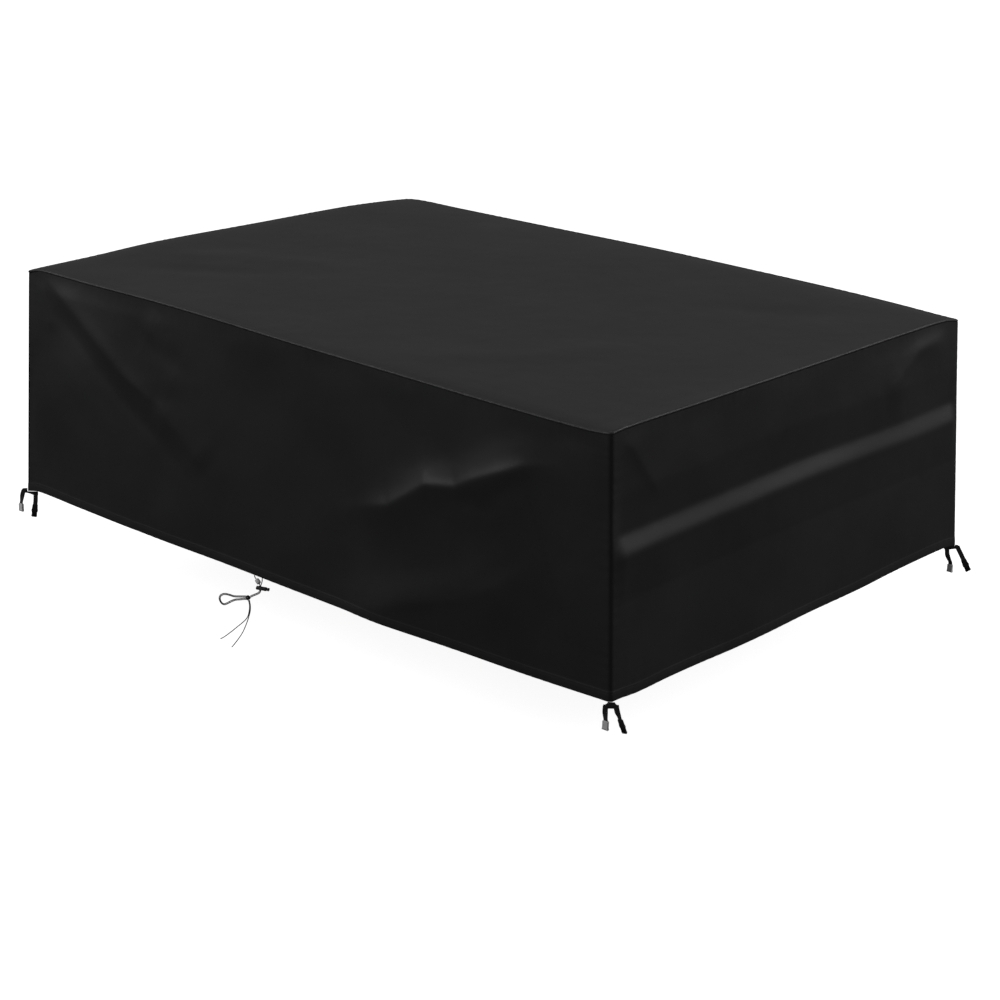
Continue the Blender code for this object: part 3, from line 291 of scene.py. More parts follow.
# Rows of the hem: mm above the lower edge, share of the hem's extra thickness, mm that it stands out.
HEM_ROWS = (
    (31.0, 0.0, 0.0), (29.2, 0.1, 0.15), (28.2, 0.7, 0.6), (27.0, 1.0, 0.8), (25.0, 0.85, 0.3), (23.0, 1.0, 0.8),
    (15.0, 1.0, 0.95), (6.0, 1.0, 0.9), (2.4, 0.95, 0.7), (0.8, 0.7, 0.25), (0.0, 0.25, -0.55),
)
# Edges of the plates, from the lower face up: (mm inward from the outline, mm above the plate's middle).
TAB_EDGE = ((1.2, -1.0), (0.35, -0.85), (0.0, -0.4), (0.0, 0.4), (0.35, 0.85), (1.2, 1.0))
SOCKET_EDGE = ((1.3, -4.0), (0.5, -3.8), (0.1, -3.3), (0.0, -2.6), (0.0, 2.6), (0.1, 3.3), (0.5, 3.8), (1.3, 4.0))
TONGUE_EDGE = ((0.7, -2.3), (0.2, -2.1), (0.0, -1.6), (0.0, 1.6), (0.2, 2.1), (0.7, 2.3))
# A strap's section: shares of its half width and of its half thickness, once round.
STRAP_SECTION = (
    (1.0, 0.0), (0.97, 0.75), (0.86, 1.0), (0.3, 0.9), (-0.3, 0.9), (-0.86, 1.0), (-0.97, 0.75), (-1.0, 0.0),
    (-0.97, -0.75), (-0.86, -1.0), (-0.3, -0.9), (0.3, -0.9), (0.86, -1.0), (0.97, -0.75),
)
# Boxes cut out of the buckle halves, mm: lowest and highest corners in the half's own axes.
POCKET = ((-7.8, -6.3, -1.2), (7.8, 1.0, 1.2))
SOCKET_CUTS = (
    POCKET, ((-7.4, -28.0, -2.3), (7.4, -10.0, 2.3)), ((-12.0, -23.0, -1.9), (12.0, -18.0, 1.9)),
    *[((-5.6, -20.5, low), (5.6, -11.5, high)) for low, high in ((3.5, 5.0), (-5.0, -3.5))],
    *[((-6.6, start, low), (6.6, stop, high)) for low, high in ((3.6, 5.0), (-5.0, -3.6))
      for start, stop in ((-4.0, -3.1), (-6.2, -5.3), (-8.4, -7.5))],
)
TONGUE_CUTS = (
    POCKET, *[((-6.4, -18.5, low), (6.4, -9.5, high)) for low, high in ((1.8, 3.0), (-3.0, -1.8))],
    *[((-6.6, start, low), (6.6, stop, high)) for low, high in ((2.0, 3.0), (-3.0, -2.0))
      for start, stop in ((-3.6, -2.8), (-5.6, -4.8))],
)
# The lock, mm along its axis: (place, half depth, half height). The body turns back into its bore.
LOCK_BODY_ROWS = (
    (-12.5, 5.2, 4.1), (-12.3, 6.0, 4.9), (-11.7, 6.6, 5.5), (-10.6, 7.0, 5.9), (-8.5, 7.0, 5.9), (-8.1, 6.5, 5.4),
    (-7.3, 6.5, 5.4), (-6.9, 7.0, 5.9), (5.9, 7.0, 5.9), (6.3, 6.5, 5.4), (7.1, 6.5, 5.4), (7.5, 7.0, 5.9),
    (9.5, 7.0, 5.9), (9.9, 6.5, 5.4), (10.7, 6.5, 5.4), (11.1, 7.0, 5.9), (20.0, 7.0, 5.9), (20.8, 6.7, 5.6),
    (21.2, 6.1, 5.1), (21.2, 4.8, 4.6), (20.8, 4.4, 4.4), (-10.9, 4.4, 4.4),
)
BUTTON_ROWS = (
    (-6.6, 3.4, 3.4), (-6.4, 3.8, 3.8), (-6.0, 4.05, 4.05), (25.2, 4.05, 4.05), (25.3, 5.4, 4.5), (25.7, 6.0, 5.0),
    (26.3, 6.2, 5.2), (28.5, 6.2, 5.2), (29.1, 5.8, 4.8), (29.4, 5.1, 4.2), (29.5, 4.2, 3.4),
)


# ---------------------------------------------------------------- settings
def colour_property(name, description, default):
    return FloatVectorProperty(name=name, description=description, subtype="COLOR", size=3, min=0, max=1,
                               default=default)


class ClothSettings(bpy.types.PropertyGroup):
    colour: colour_property("Cloth colour", "Colour of the coated cloth", (0.0245, 0.0245, 0.0250))
    # The seam's colour is lighter than the cloth's: a painted highlight along the seam ridge.
    tape: colour_property("Seam colour", "Colour of the seam round the top", (0.040, 0.040, 0.041))
    crease: FloatProperty(
        name="Crease strength", description="1 keeps the small creases at their own depth", default=1.0,
        min=0.0, max=3.0)
    weave: FloatProperty(
        name="Weave pitch", description="Width of one yarn of the weave", default=1.1 * MM, min=0.2 * MM,
        max=5 * MM, unit="LENGTH")


class CordSettings(bpy.types.PropertyGroup):
    colour: colour_property("Cord colour", "Colour of the drawcord", (0.020, 0.020, 0.021))
    braid: FloatProperty(
        name="Braid pitch", description="Length of one crossing of the braid", default=2.2 * MM,
        min=0.5 * MM, max=10 * MM, unit="LENGTH")


class FittingSettings(bpy.types.PropertyGroup):
    webbing: colour_property("Webbing colour", "Colour of the tabs and straps", (0.045, 0.045, 0.045))
    black: colour_property("Black plastic", "Colour of the tongues and the cord lock", (0.020, 0.020, 0.021))
    # The sockets' pale colour is a painted reflection: glossy black faces coloured like the sky that they mirror.
    grey: colour_property("Grey plastic", "Colour of the sockets", (0.80, 0.80, 0.81))
    pale: colour_property("Pale plastic", "Colour of the cord's bead", (0.80, 0.80, 0.80))


class StageSettings(bpy.types.PropertyGroup):
    floor_drop: FloatProperty(
        name="Floor drop", description="How far the floor lies under the lowest cord end",
        default=12 * MM, min=0.0, max=1.0, unit="LENGTH")
    sky: FloatProperty(
        name="Sky", description="Brightness of the even light from above", default=0.20,
        min=0.0)
    ground: FloatProperty(
        name="Ground", description="Brightness of the even light from below", default=0.04, min=0.0)
    right: FloatProperty(
        name="Right panel", description="Power of the soft panel at the right", default=143.0, min=0.0,
        unit="POWER")
    left: FloatProperty(
        name="Left panel", description="Power of the soft panel at the left", default=140.0, min=0.0,
        unit="POWER")


# ---------------------------------------------------------------- curves and tables
def ease(x):
    """0 to 1, with level ends."""
    x = np.clip(x, 0.0, 1.0)
    return x * x * (3.0 - 2.0 * x)


def read_table(rows, at):
    """A smooth curve through a short table of (place, value) rows, read at many places."""
    xs, ys = np.array(rows, float).T
    index = np.arange(len(xs))
    low, high = np.maximum(index - 1, 0), np.minimum(index + 1, len(xs) - 1)
    slopes = (ys[high] - ys[low]) / (xs[high] - xs[low])
    at = np.clip(at, xs[0], xs[-1])
    i = np.clip(np.searchsorted(xs, at, side="right") - 1, 0, len(xs) - 2)
    span = xs[i + 1] - xs[i]
    t = (at - xs[i]) / span
    return ((1 + 2 * t) * (1 - t) ** 2 * ys[i] + t * (1 - t) ** 2 * span * slopes[i]
            + t * t * (3 - 2 * t) * ys[i + 1] + t * t * (t - 1) * span * slopes[i + 1])


def spline_through(points, step):
    """Points about step apart on a smooth curve through the given points."""
    ends = [points[0] * 2 - points[1]] + list(points) + [points[-1] * 2 - points[-2]]
    fine = []
    for before, start, stop, after in zip(ends, ends[1:], ends[2:], ends[3:]):
        for k in range(12):
            t = k / 12
            fine.append(0.5 * (2 * start + (stop - before) * t
                               + (2 * before - 5 * start + 4 * stop - after) * t * t
                               + (3 * start - before - 3 * stop + after) * t ** 3))
    fine.append(points[-1].copy())
    return evenly(fine, step)


def evenly(points, step):
    """The same run of points, spaced evenly by about step."""
    travelled = [0.0]
    for a, b in zip(points, points[1:]):
        travelled.append(travelled[-1] + (b - a).length)
    count = max(2, round(travelled[-1] / step))
    result = []
    index = 0
    for k in range(count + 1):
        goal = travelled[-1] * k / count
        while index < len(points) - 2 and travelled[index + 1] < goal:
            index += 1
        share = (goal - travelled[index]) / (travelled[index + 1] - travelled[index])
        result.append(points[index].lerp(points[index + 1], share))
    return result


def near_route(points, route):
    """How far points lie from a bent line, on which side of it (-1 right to 1 left), and how far along."""
    route = np.array(route, float)
    spans = np.diff(route, axis=0)
    lengths = np.linalg.norm(spans, axis=1)
    gap = np.full(points.shape[:-1], 1e9)
    place = np.zeros(points.shape[:-1])
    lean = np.zeros(points.shape[:-1])
    walked = 0.0
    for start, span, length in zip(route, spans, lengths):
        away = points - start
        share = np.clip(away @ span / length ** 2, 0.0, 1.0)
        here = np.linalg.norm(away - share[..., None] * span, axis=-1)
        nearer = here < gap
        left = (span[0] * away[..., 1] - span[1] * away[..., 0]) / length
        lean = np.where(nearer, np.clip(left / np.maximum(here, 1e-6), -1.0, 1.0), lean)
        place = np.where(nearer, (walked + share * length) / lengths.sum(), place)
        gap = np.minimum(gap, here)
        walked += length
    return gap, lean, place


def fold_height(points, size, width, route):
    """Height of one soft fold at many 2D points: a bell across it, dying out towards both of its ends."""
    gap, _, place = near_route(points, route)
    return size * np.exp(-(gap / width) ** 2) * (0.35 + 0.65 * ease(4 * np.minimum(place, 1 - place)))


def crease_height(points, crease):
    """Height of one crease: a crest with a flank of its own width on either side."""
    gap, lean, place = near_route(points, crease.route)
    width = 0.5 * (crease.left + crease.right) + 0.5 * (crease.left - crease.right) * lean
    crest = np.exp(crease.soft - np.sqrt((gap / width) ** 2 + crease.soft ** 2))
    return crease.out * crest * (0.15 + 0.85 * ease(4 * np.minimum(place, 1 - place)))


# ---------------------------------------------------------------- shape of the cover, as in part.py
def blend_corner(name, fall):
    """Where two walls' planes meet, fall = 0 at the top edge and 1 at the hem."""
    corner = CORNERS[name]
    top, hem = np.array(corner.top), np.array(corner.hem)
    return top + (hem - top) * fall[..., None]


def blend_radius(name, fall):
    corner = CORNERS[name]
    return corner.top_radius + (corner.hem_radius - corner.top_radius) * fall


def unit(vectors):
    return vectors / np.linalg.norm(vectors, axis=-1, keepdims=True)


def outline(index, along, fall):
    """Plan of the walls' outer face: the points and the outward directions, both in X, Y."""
    side = SIDES[index]
    before, after = SIDES[index - 1], SIDES[(index + 1) % 4]
    first, last = blend_corner(side.first, fall), blend_corner(side.last, fall)
    heading = unit(last - first)
    back = unit(blend_corner(before.first, fall) - first)
    ahead = unit(blend_corner(after.last, fall) - last)
    r0 = blend_radius(side.first, fall)[..., None]
    r1 = blend_radius(side.last, fall)[..., None]
    s = along[..., None]
    reach = side.length - r1

    def arc(start, middle, stop, t):
        point = start * (1 - t) ** 2 + middle * (2 * t * (1 - t)) + stop * t * t
        return point, unit((middle - start) * (1 - t) + (stop - middle) * t)

    p0, h0 = arc(first + back * r0, first, first + heading * r0, 0.5 + 0.5 * s / r0)
    p1, h1 = arc(last - heading * r1, last, last + ahead * r1, 0.5 * (s - reach) / r1)
    share = (s - r0) / (reach - r0)
    flat = (first + heading * r0) * (1 - share) + (last - heading * r1) * share
    point = np.where(s < r0, p0, np.where(s > reach, p1, flat))
    tangent = np.where(s < r0, h0, np.where(s > reach, h1, heading))
    return point, np.stack([tangent[..., 1], -tangent[..., 0]], axis=-1)


def ripple(along, turn):
    """Uneven ripples along a seam, -1 to 1."""
    wander = 1.4 * np.sin(math.tau * along / 0.19 + turn) + 0.9 * np.sin(math.tau * along / 0.077 + 2 * turn)
    size = 0.55 + 0.45 * np.sin(math.tau * along / 0.31 + 3 * turn)
    return size * np.sin(math.tau * along / PUCKER_LENGTH + wander)


def fold_push(index, along, height, crown, hem, crease):
    """How far the wall cloth stands out of the flat wall."""
    side = SIDES[index]
    here = np.stack([along, height], axis=-1)
    push = sum(size * np.sin(math.tau * along / long + phase + index)
               * np.sin(math.tau * height / tall + phase * 1.7) for size, long, tall, phase in SLACK)
    for fold in FOLDS:
        if fold.side == side.name:
            push = push + FOLD_SHARE * fold_height(here, fold.out, fold.width, fold.route)
    for line in CREASES:
        if line.side == side.name:
            push = push + crease * crease_height(here, line)
    if side.name == "right":
        push = push + read_table(BAND_PROFILE, read_table(BAND_LEVEL, along) - height)
    nearest = np.minimum(along, side.length - along)
    push = push * ease(nearest / CORNER_FADE) * ease((crown - height) / TOP_FADE)
    below_top = crown - height
    above_hem = height - hem
    push = push + PUCKER * ripple(along, index) * np.exp(-below_top / PUCKER_REACH) * ease(below_top / 0.012)
    push = push + 0.6 * PUCKER * ripple(along, index + 5) * np.exp(-above_hem / 0.05)
    push = push + PUCKER * ripple(height, index + 9) * np.exp(-nearest / PUCKER_REACH) * ease(nearest / 0.015)
    if side.name == "front":
        push = push - CORNER_ROLL * np.exp(-(along / 0.07) ** 2)
    return push - SEAM_GROOVE * np.exp(-(nearest / 0.0035) ** 2)


def wall_point(index, along, height, crease):
    side = SIDES[index]
    crown, hem = read_table(side.crown, along), read_table(side.hem, along)
    fall = np.clip((crown - height) / (crown - hem), 0.0, 1.0)
    plan, out = outline(index, along, fall)
    plan = plan + out * fold_push(index, along, height, crown, hem, crease)[..., None]
    return np.concatenate([plan, height[..., None]], axis=-1)


def rim_point(index, along):
    """Edge of the top panel's upper face."""
    along = np.asarray(along, float)
    plan, out = outline(index, along, np.zeros_like(along))
    crown = read_table(SIDES[index].crown, along) - RIM_DROP
    return np.concatenate([plan - out * RIM_INSET, crown[..., None]], axis=-1)


def columns_of(index, cell):
    """Mesh columns of a side: close together at the rounded corners, even between them."""
    side = SIDES[index]
    r0, r1 = 1.6 * CORNERS[side.first].top_radius, 1.6 * CORNERS[side.last].top_radius
    head = r0 * np.linspace(0.0, 1.0, CORNER_CELLS) ** 1.6
    tail = side.length - r1 * np.linspace(1.0, 0.0, CORNER_CELLS) ** 1.6
    count = round((tail[0] - head[-1]) / cell)
    return np.concatenate([head, np.linspace(head[-1], tail[0], count + 1)[1:-1], tail])


# ---------------------------------------------------------------- making objects
def add_object(name, verts, faces, material, uvs=None, body=BODY):
    """A smooth mesh object that rides on a body. uvs holds one (u, v) in metres for each vertex."""
    mesh = bpy.data.meshes.new(name)
    mesh.from_pydata([tuple(v) for v in verts], [], [tuple(f) for f in faces])
    if uvs is not None:
        layer = mesh.uv_layers.new(name="UVMap")
        corner_verts = np.empty(len(mesh.loops), np.int32)
        mesh.loops.foreach_get("vertex_index", corner_verts)
        layer.data.foreach_set("uv", np.asarray(uvs, np.float32)[corner_verts].ravel())
    mesh.materials.append(material)
    mesh.shade_smooth()
    mesh.set_sharp_from_angle(angle=math.radians(50))
    obj = bpy.data.objects.new(name, mesh)
    bpy.context.scene.collection.objects.link(obj)
    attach(obj, body)
    return obj


def sheet_object(name, outer, inner, uvs, material):
    """A closed cloth sheet between two grids of points with the same rows and columns."""
    rows, columns = outer.shape[:2]
    layer = rows * columns
    index = np.arange(layer).reshape(rows, columns)
    quads = np.stack([index[:-1, :-1], index[1:, :-1], index[1:, 1:], index[:-1, 1:]], axis=-1).reshape(-1, 4)
    rim = np.concatenate([index[:, 0], index[-1, 1:], index[-2::-1, -1], index[0, -2:0:-1]])
    following = np.roll(rim, -1)
    edge = np.stack([rim, rim + layer, following + layer, following], axis=-1)
    faces = np.concatenate([quads, quads[:, [0, 3, 2, 1]] + layer, edge])
    verts = np.concatenate([outer.reshape(-1, 3), inner.reshape(-1, 3)])
    both = np.concatenate([uvs.reshape(-1, 2), uvs.reshape(-1, 2)])
    return add_object(name, verts, faces, material, both)


def sweep(rings, closed=False):
    """Vertices, faces and UVs of a solid through rings of points. The UVs run round and along, in metres."""
    rings = np.array(rings, float)
    count, sides = rings.shape[:2]
    index = np.arange(count * sides).reshape(count, sides)
    first, following = (index, np.roll(index, -1, axis=0)) if closed else (index[:-1], index[1:])
    faces = np.stack([first, np.roll(first, -1, axis=1), np.roll(following, -1, axis=1), following], axis=-1)
    faces = faces.reshape(-1, 4).tolist()
    if not closed:
        faces += [index[0, ::-1].tolist(), index[-1].tolist()]
    middles = rings.mean(axis=1)
    along = np.concatenate([[0.0], np.linalg.norm(np.diff(middles, axis=0), axis=1).cumsum()])
    girth = np.concatenate([[0.0], np.linalg.norm(np.diff(rings[count // 2], axis=0), axis=1).cumsum()])
    uvs = np.stack(np.broadcast_arrays(girth[None], along[:, None]), axis=-1)
    return rings.reshape(-1, 3), faces, uvs.reshape(-1, 2)


def tube_rings(line, radius, sides):
    """Rings of a round cord along a line of points, with softened ends."""
    tangent = (line[1] - line[0]).normalized()
    across = tangent.orthogonal().normalized()
    last = len(line) - 1
    rings = []
    for k, point in enumerate(line):
        tangent = (line[min(k + 1, last)] - line[max(k - 1, 0)]).normalized()
        across = (across - tangent * across.dot(tangent)).normalized()
        other = tangent.cross(across)
        reach = radius * (0.8 if k in (0, last) else 1.0)
        turns = [math.tau * j / sides for j in range(sides)]
        rings.append([point + (across * math.cos(a) + other * math.sin(a)) * reach for a in turns])
    return rings


def axes(origin, x, y):
    """Matrix of a place with the given X and Y directions."""
    return Matrix.Translation(origin) @ Matrix((x, y, x.cross(y))).transposed().to_4x4()


def set_in(place, points):
    """Points in millimetres in a place's own axes, moved into the frame."""
    return np.array(points, float) * MM @ np.array(place.to_3x3()).T + np.array(place.translation)


def rounded(points, radius):
    """A closed outline, anticlockwise, with its corners rounded where the edges leave room for it."""
    points = [Vector(p) for p in points]
    if polygon_area(points) < 0:
        points.reverse()
    result = []
    for before, here, after in zip(points[-1:] + points[:-1], points, points[1:] + points[:1]):
        into, out = before - here, after - here
        reach = min(radius, 0.4 * into.length, 0.4 * out.length)
        start, stop = here + into.normalized() * reach, here + out.normalized() * reach
        for t in (0.0, 0.25, 0.5, 0.75, 1.0):
            result.append(start * (1 - t) ** 2 + here * (2 * t * (1 - t)) + stop * t * t)
    return result


def polygon_area(points):
    return 0.5 * sum(a[0] * b[1] - b[0] * a[1] for a, b in zip(points, points[1:] + points[:1]))


def plate_rings(outline_points, edge):
    """Rings of a plate, millimetres: its outline in X, Y, drawn in as its edge's (inset, height) rows say."""
    flat = np.array(outline_points, float)
    tangent = unit(np.roll(flat, -1, axis=0) - np.roll(flat, 1, axis=0))
    inward = np.stack([-tangent[:, 1], tangent[:, 0]], axis=-1)
    return [np.concatenate([flat + inward * inset, np.full((len(flat), 1), height)], axis=1)
            for inset, height in edge]


def plate_object(name, outline_points, edge, place, material):
    rings = plate_rings(outline_points, edge)
    verts, faces, _ = sweep([set_in(place, ring) for ring in rings])
    uvs = np.concatenate(rings)[:, :2] * MM
    return add_object(name, verts, faces, material, uvs)


def barrel_object(name, rows, place, material, body):
    """A round or oval barrel from (place along X, half depth, half height) rows in millimetres."""
    turns = np.arange(BARREL_SIDES) * math.tau / BARREL_SIDES
    rings = [np.stack([np.full(BARREL_SIDES, x), depth * np.cos(turns), height * np.sin(turns)], axis=-1)
             for x, depth, height in rows]
    return add_object(name, *sweep([set_in(place, ring) for ring in rings])[:2], material, body=body)


def cut_boxes(piece, place, boxes):
    """Takes boxes, each from its lowest to its highest corner in millimetres, out of a piece."""
    for low, high in boxes:
        low, high = Vector(low), Vector(high)
        size = Matrix.Diagonal((*(high - low), 1.0))
        bm = bmesh.new()
        bmesh.ops.create_cube(bm, size=1.0, matrix=Matrix.Translation((low + high) / 2) @ size)
        bmesh.ops.transform(bm, matrix=place @ Matrix.Scale(MM, 4), verts=bm.verts)
        mesh = bpy.data.meshes.new("cutter")
        bm.to_mesh(mesh)
        bm.free()
        cutter = bpy.data.objects.new("cutter", mesh)
        bpy.context.scene.collection.objects.link(cutter)
        modifier = piece.modifiers.new("cut", "BOOLEAN")
        modifier.operation = "DIFFERENCE"
        modifier.object = cutter
        bpy.context.view_layer.update()
        graph = bpy.context.evaluated_depsgraph_get()
        result = bpy.data.meshes.new_from_object(piece.evaluated_get(graph))
        piece.modifiers.clear()
        piece.data = result
        bpy.data.objects.remove(cutter, do_unlink=True)
    piece.data.shade_smooth()
    piece.data.set_sharp_from_angle(angle=math.radians(35))


# ---------------------------------------------------------------- node groups and materials
def plug(tree, socket, value):
    """Links an input socket to another node's output, or gives it a plain value."""
    if isinstance(value, bpy.types.NodeSocket):
        tree.links.new(value, socket)
    else:
        socket.default_value = value


def add_node(tree, kind, **inputs):
    """A shader node and its inputs, each a plain value or another node's output. _ stands for a space."""
    node = tree.nodes.new("ShaderNode" + kind)
    for label, value in inputs.items():
        plug(tree, node.inputs[label.replace("_", " ")], value)
    return node


def add_math(tree, operation, *values):
    node = tree.nodes.new("ShaderNodeMath")
    node.operation = operation
    for socket, value in zip(node.inputs, values):
        plug(tree, socket, value)
    return node.outputs[0]


def new_group(name, inputs, outputs):
    """An empty shader node group and its sockets. inputs holds the defaults, None for a vector."""
    tree = bpy.data.node_groups.new(name, "ShaderNodeTree")
    for label, default in inputs.items():
        kind = "NodeSocketVector" if default is None else "NodeSocketFloat"
        socket = tree.interface.new_socket(name=label, in_out="INPUT", socket_type=kind)
        if default is not None:
            socket.default_value = default
    for label in outputs:
        tree.interface.new_socket(name=label, in_out="OUTPUT", socket_type="NodeSocketFloat")
    start, stop = tree.nodes.new("NodeGroupInput"), tree.nodes.new("NodeGroupOutput")
    return tree, start.outputs, stop.inputs


def weave_group(name):
    """Plain weave: small humps where one yarn passes over the other."""
    tree, start, stop = new_group(name, {"Place": None, "Pitch": 1.0 * MM}, ["Height"])
    parts = add_node(tree, "SeparateXYZ", Vector=start["Place"]).outputs
    waves = []
    for axis in ("X", "Y"):
        count = add_math(tree, "DIVIDE", parts[axis], start["Pitch"])
        waves.append(add_math(tree, "SINE", add_math(tree, "MULTIPLY", count, math.pi)))
    product = add_math(tree, "MULTIPLY", *waves)
    plug(tree, stop["Height"], add_math(tree, "MULTIPLY_ADD", product, 0.5, 0.5))
    return tree


def stitch_group(name):
    """A row of stitches along U at a height V: 1 on a stitch, 0 off the row."""
    sizes = {"Along": 0.0, "Across": 0.0, "Length": 4.0 * MM, "Width": 0.8 * MM}
    tree, start, stop = new_group(name, sizes, ["Mask"])
    beat = add_math(tree, "FRACT", add_math(tree, "DIVIDE", start["Along"], start["Length"]))
    middle = add_math(tree, "ABSOLUTE", add_math(tree, "SUBTRACT", beat, 0.5))
    thread = add_math(tree, "LESS_THAN", middle, STITCH_SHARE / 2)
    share = add_math(tree, "DIVIDE", start["Across"], start["Width"])
    hump = add_math(tree, "SUBTRACT", 1.0, add_math(tree, "MULTIPLY", share, share))
    plug(tree, stop["Mask"], add_math(tree, "MULTIPLY", thread, add_math(tree, "MAXIMUM", hump, 0.0)))
    return tree


def braid_group(name):
    """Diagonal crossing strands of a braided cord or of webbing."""
    tree, start, stop = new_group(name, {"Place": None, "Pitch": 2.0 * MM}, ["Height"])
    parts = add_node(tree, "SeparateXYZ", Vector=start["Place"]).outputs
    waves = []
    for operation in ("ADD", "SUBTRACT"):
        slanted = add_math(tree, operation, parts["Y"], parts["X"])
        turns = add_math(tree, "MULTIPLY", add_math(tree, "DIVIDE", slanted, start["Pitch"]), math.pi)
        waves.append(add_math(tree, "ABSOLUTE", add_math(tree, "SINE", turns)))
    plug(tree, stop["Height"], add_math(tree, "MAXIMUM", *waves))
    return tree


def wear_group(name):
    """Cloudy variation at two sizes, from the place on the object."""
    tree, start, stop = new_group(name, {"Size": 0.3}, ["Clouds", "Grain"])
    place = tree.nodes.new("ShaderNodeTexCoord").outputs["Object"]
    scale = add_math(tree, "DIVIDE", 1.0, start["Size"])
    for label, factor, detail in (("Clouds", 1.0, 3.0), ("Grain", 14.0, 2.0)):
        noise = add_node(tree, "TexNoise", Vector=place, Detail=detail,
                         Scale=add_math(tree, "MULTIPLY", scale, factor))
        plug(tree, stop[label], noise.outputs["Fac"])
    return tree


GROUPS = {"Plain weave": weave_group, "Stitch row": stitch_group, "Crossed strands": braid_group,
          "Cloudy wear": wear_group}


def add_group(tree, name, **inputs):
    """The outputs of one of the node groups, which is made the first time that it is used."""
    node = tree.nodes.new("ShaderNodeGroup")
    node.node_tree = bpy.data.node_groups.get(name) or GROUPS[name](name)
    for label, value in inputs.items():
        plug(tree, node.inputs[label], value)
    return node.outputs


def start_material(name, specular):
    """A new material, its node tree and its Principled shader."""
    material = bpy.data.materials.new(name)
    material.use_nodes = True
    shader = material.node_tree.nodes["Principled BSDF"]
    shader.inputs["Specular IOR Level"].default_value = specular
    return material, material.node_tree, shader


def uv_place(tree):
    node = tree.nodes.new("ShaderNodeUVMap")
    node.uv_map = "UVMap"
    return node.outputs["UV"]


def tint(tree, shader, colour, amount, factor):
    """Base Color that runs between a darker and a lighter tone of one colour as the factor changes."""
    mix = tree.nodes.new("ShaderNodeMix")
    mix.data_type = "RGBA"
    for label, share in (("A", 1 - amount), ("B", 1 + amount)):
        mix.inputs[label].default_value = (*[min(1.0, c * share) for c in colour], 1.0)
    tree.links.new(factor, mix.inputs["Factor"])
    tree.links.new(mix.outputs["Result"], shader.inputs["Base Color"])


def roughen(tree, shader, value, low, high):
    """Roughness that runs from low to high as a noise value changes."""
    node = add_node(tree, "MapRange", Value=value, From_Min=0.3, From_Max=0.7, To_Min=low, To_Max=high)
    tree.links.new(node.outputs["Result"], shader.inputs["Roughness"])


def add_bump(tree, shader, *layers):
    """Bump from (height, distance in metres) layers, stacked one on the other."""
    below = {}
    for height, distance in layers:
        bump = add_node(tree, "Bump", Distance=distance, Strength=1.0, Height=height, **below)
        below = {"Normal": bump.outputs["Normal"]}
    tree.links.new(bump.outputs["Normal"], shader.inputs["Normal"])


def cloth_material(name, colour, pitch):
    """Coated cloth: fine plain weave, small crinkles, cloudy sheen, and a stitch row along the hem."""
    material, tree, shader = start_material(name, SOFT_GLOSS)
    uv = uv_place(tree)
    parts = add_node(tree, "SeparateXYZ", Vector=uv).outputs
    clouds = add_group(tree, "Cloudy wear", Size=0.34)["Clouds"]
    weave = add_group(tree, "Plain weave", Place=uv, Pitch=pitch)["Height"]
    above = add_math(tree, "SUBTRACT", parts["Y"], HEM_STITCH)
    stitch = add_group(tree, "Stitch row", Along=parts["X"], Across=above)["Mask"]
    place = tree.nodes.new("ShaderNodeTexCoord").outputs["Object"]
    crinkle = add_node(tree, "TexNoise", Vector=place, Scale=9.0, Detail=1.5).outputs["Fac"]
    tint(tree, shader, colour, 0.25, clouds)
    roughen(tree, shader, clouds, 0.42, 0.49)
    add_bump(tree, shader, (crinkle, 2.2 * MM), (stitch, 0.3 * MM), (weave, 0.08 * MM))
    return material


def tape_material(name, colour):
    """Seam tape round the top: ribbed across its length, and a little lighter than the cloth, which is a painted
    highlight along the seam ridge.
    """
    material, tree, shader = start_material(name, 0.3)
    wear = add_group(tree, "Cloudy wear", Size=0.10)
    weave = add_group(tree, "Plain weave", Place=uv_place(tree), Pitch=1.0 * MM)["Height"]
    tint(tree, shader, colour, 0.45, wear["Clouds"])
    roughen(tree, shader, wear["Grain"], 0.34, 0.46)
    add_bump(tree, shader, (wear["Grain"], 1.2 * MM), (weave, 0.15 * MM))
    return material


def strand_material(name, colour, pitch, depth, stitches=None):
    """Braided cord or woven webbing, with painted shade: darker in the grooves between strands, lighter on their
    crowns. stitches gives two places of stitch rows along it, in millimetres.
    """
    material, tree, shader = start_material(name, SOFT_GLOSS)
    uv = uv_place(tree)
    grain = add_group(tree, "Cloudy wear", Size=0.03)["Grain"]
    braid = add_group(tree, "Crossed strands", Place=uv, Pitch=pitch)["Height"]
    light, layers = braid, [(braid, depth)]
    if stitches:
        parts = add_node(tree, "SeparateXYZ", Vector=uv).outputs
        away = [add_math(tree, "SUBTRACT", parts["Y"], place * MM) for place in stitches]
        rows = add_math(tree, "MAXIMUM", *[
            add_group(tree, "Stitch row", Along=parts["X"], Length=2.4 * MM, Width=0.5 * MM, Across=across)["Mask"]
            for across in away])
        light = add_math(tree, "MAXIMUM", add_math(tree, "MULTIPLY", braid, 0.6), rows)
        layers.append((rows, 0.3 * MM))
    # Painted shade: Base Color darker in the braid's grooves and lighter on its crowns, and lighter along the
    # stitch rows.
    tint(tree, shader, colour, 0.5, light)
    roughen(tree, shader, grain, 0.62, 0.8)
    add_bump(tree, shader, *layers)
    return material


def plastic_material(name, colour, roughness):
    """Moulded plastic: faint mould grain and slightly uneven gloss."""
    material, tree, shader = start_material(name, 0.5)
    wear = add_group(tree, "Cloudy wear", Size=0.02)
    tint(tree, shader, colour, 0.12, wear["Clouds"])
    roughen(tree, shader, wear["Grain"], roughness - 0.06, roughness + 0.08)
    add_bump(tree, shader, (wear["Grain"], 0.05 * MM))
    return material


def settings():
    return bpy.context.scene.cover


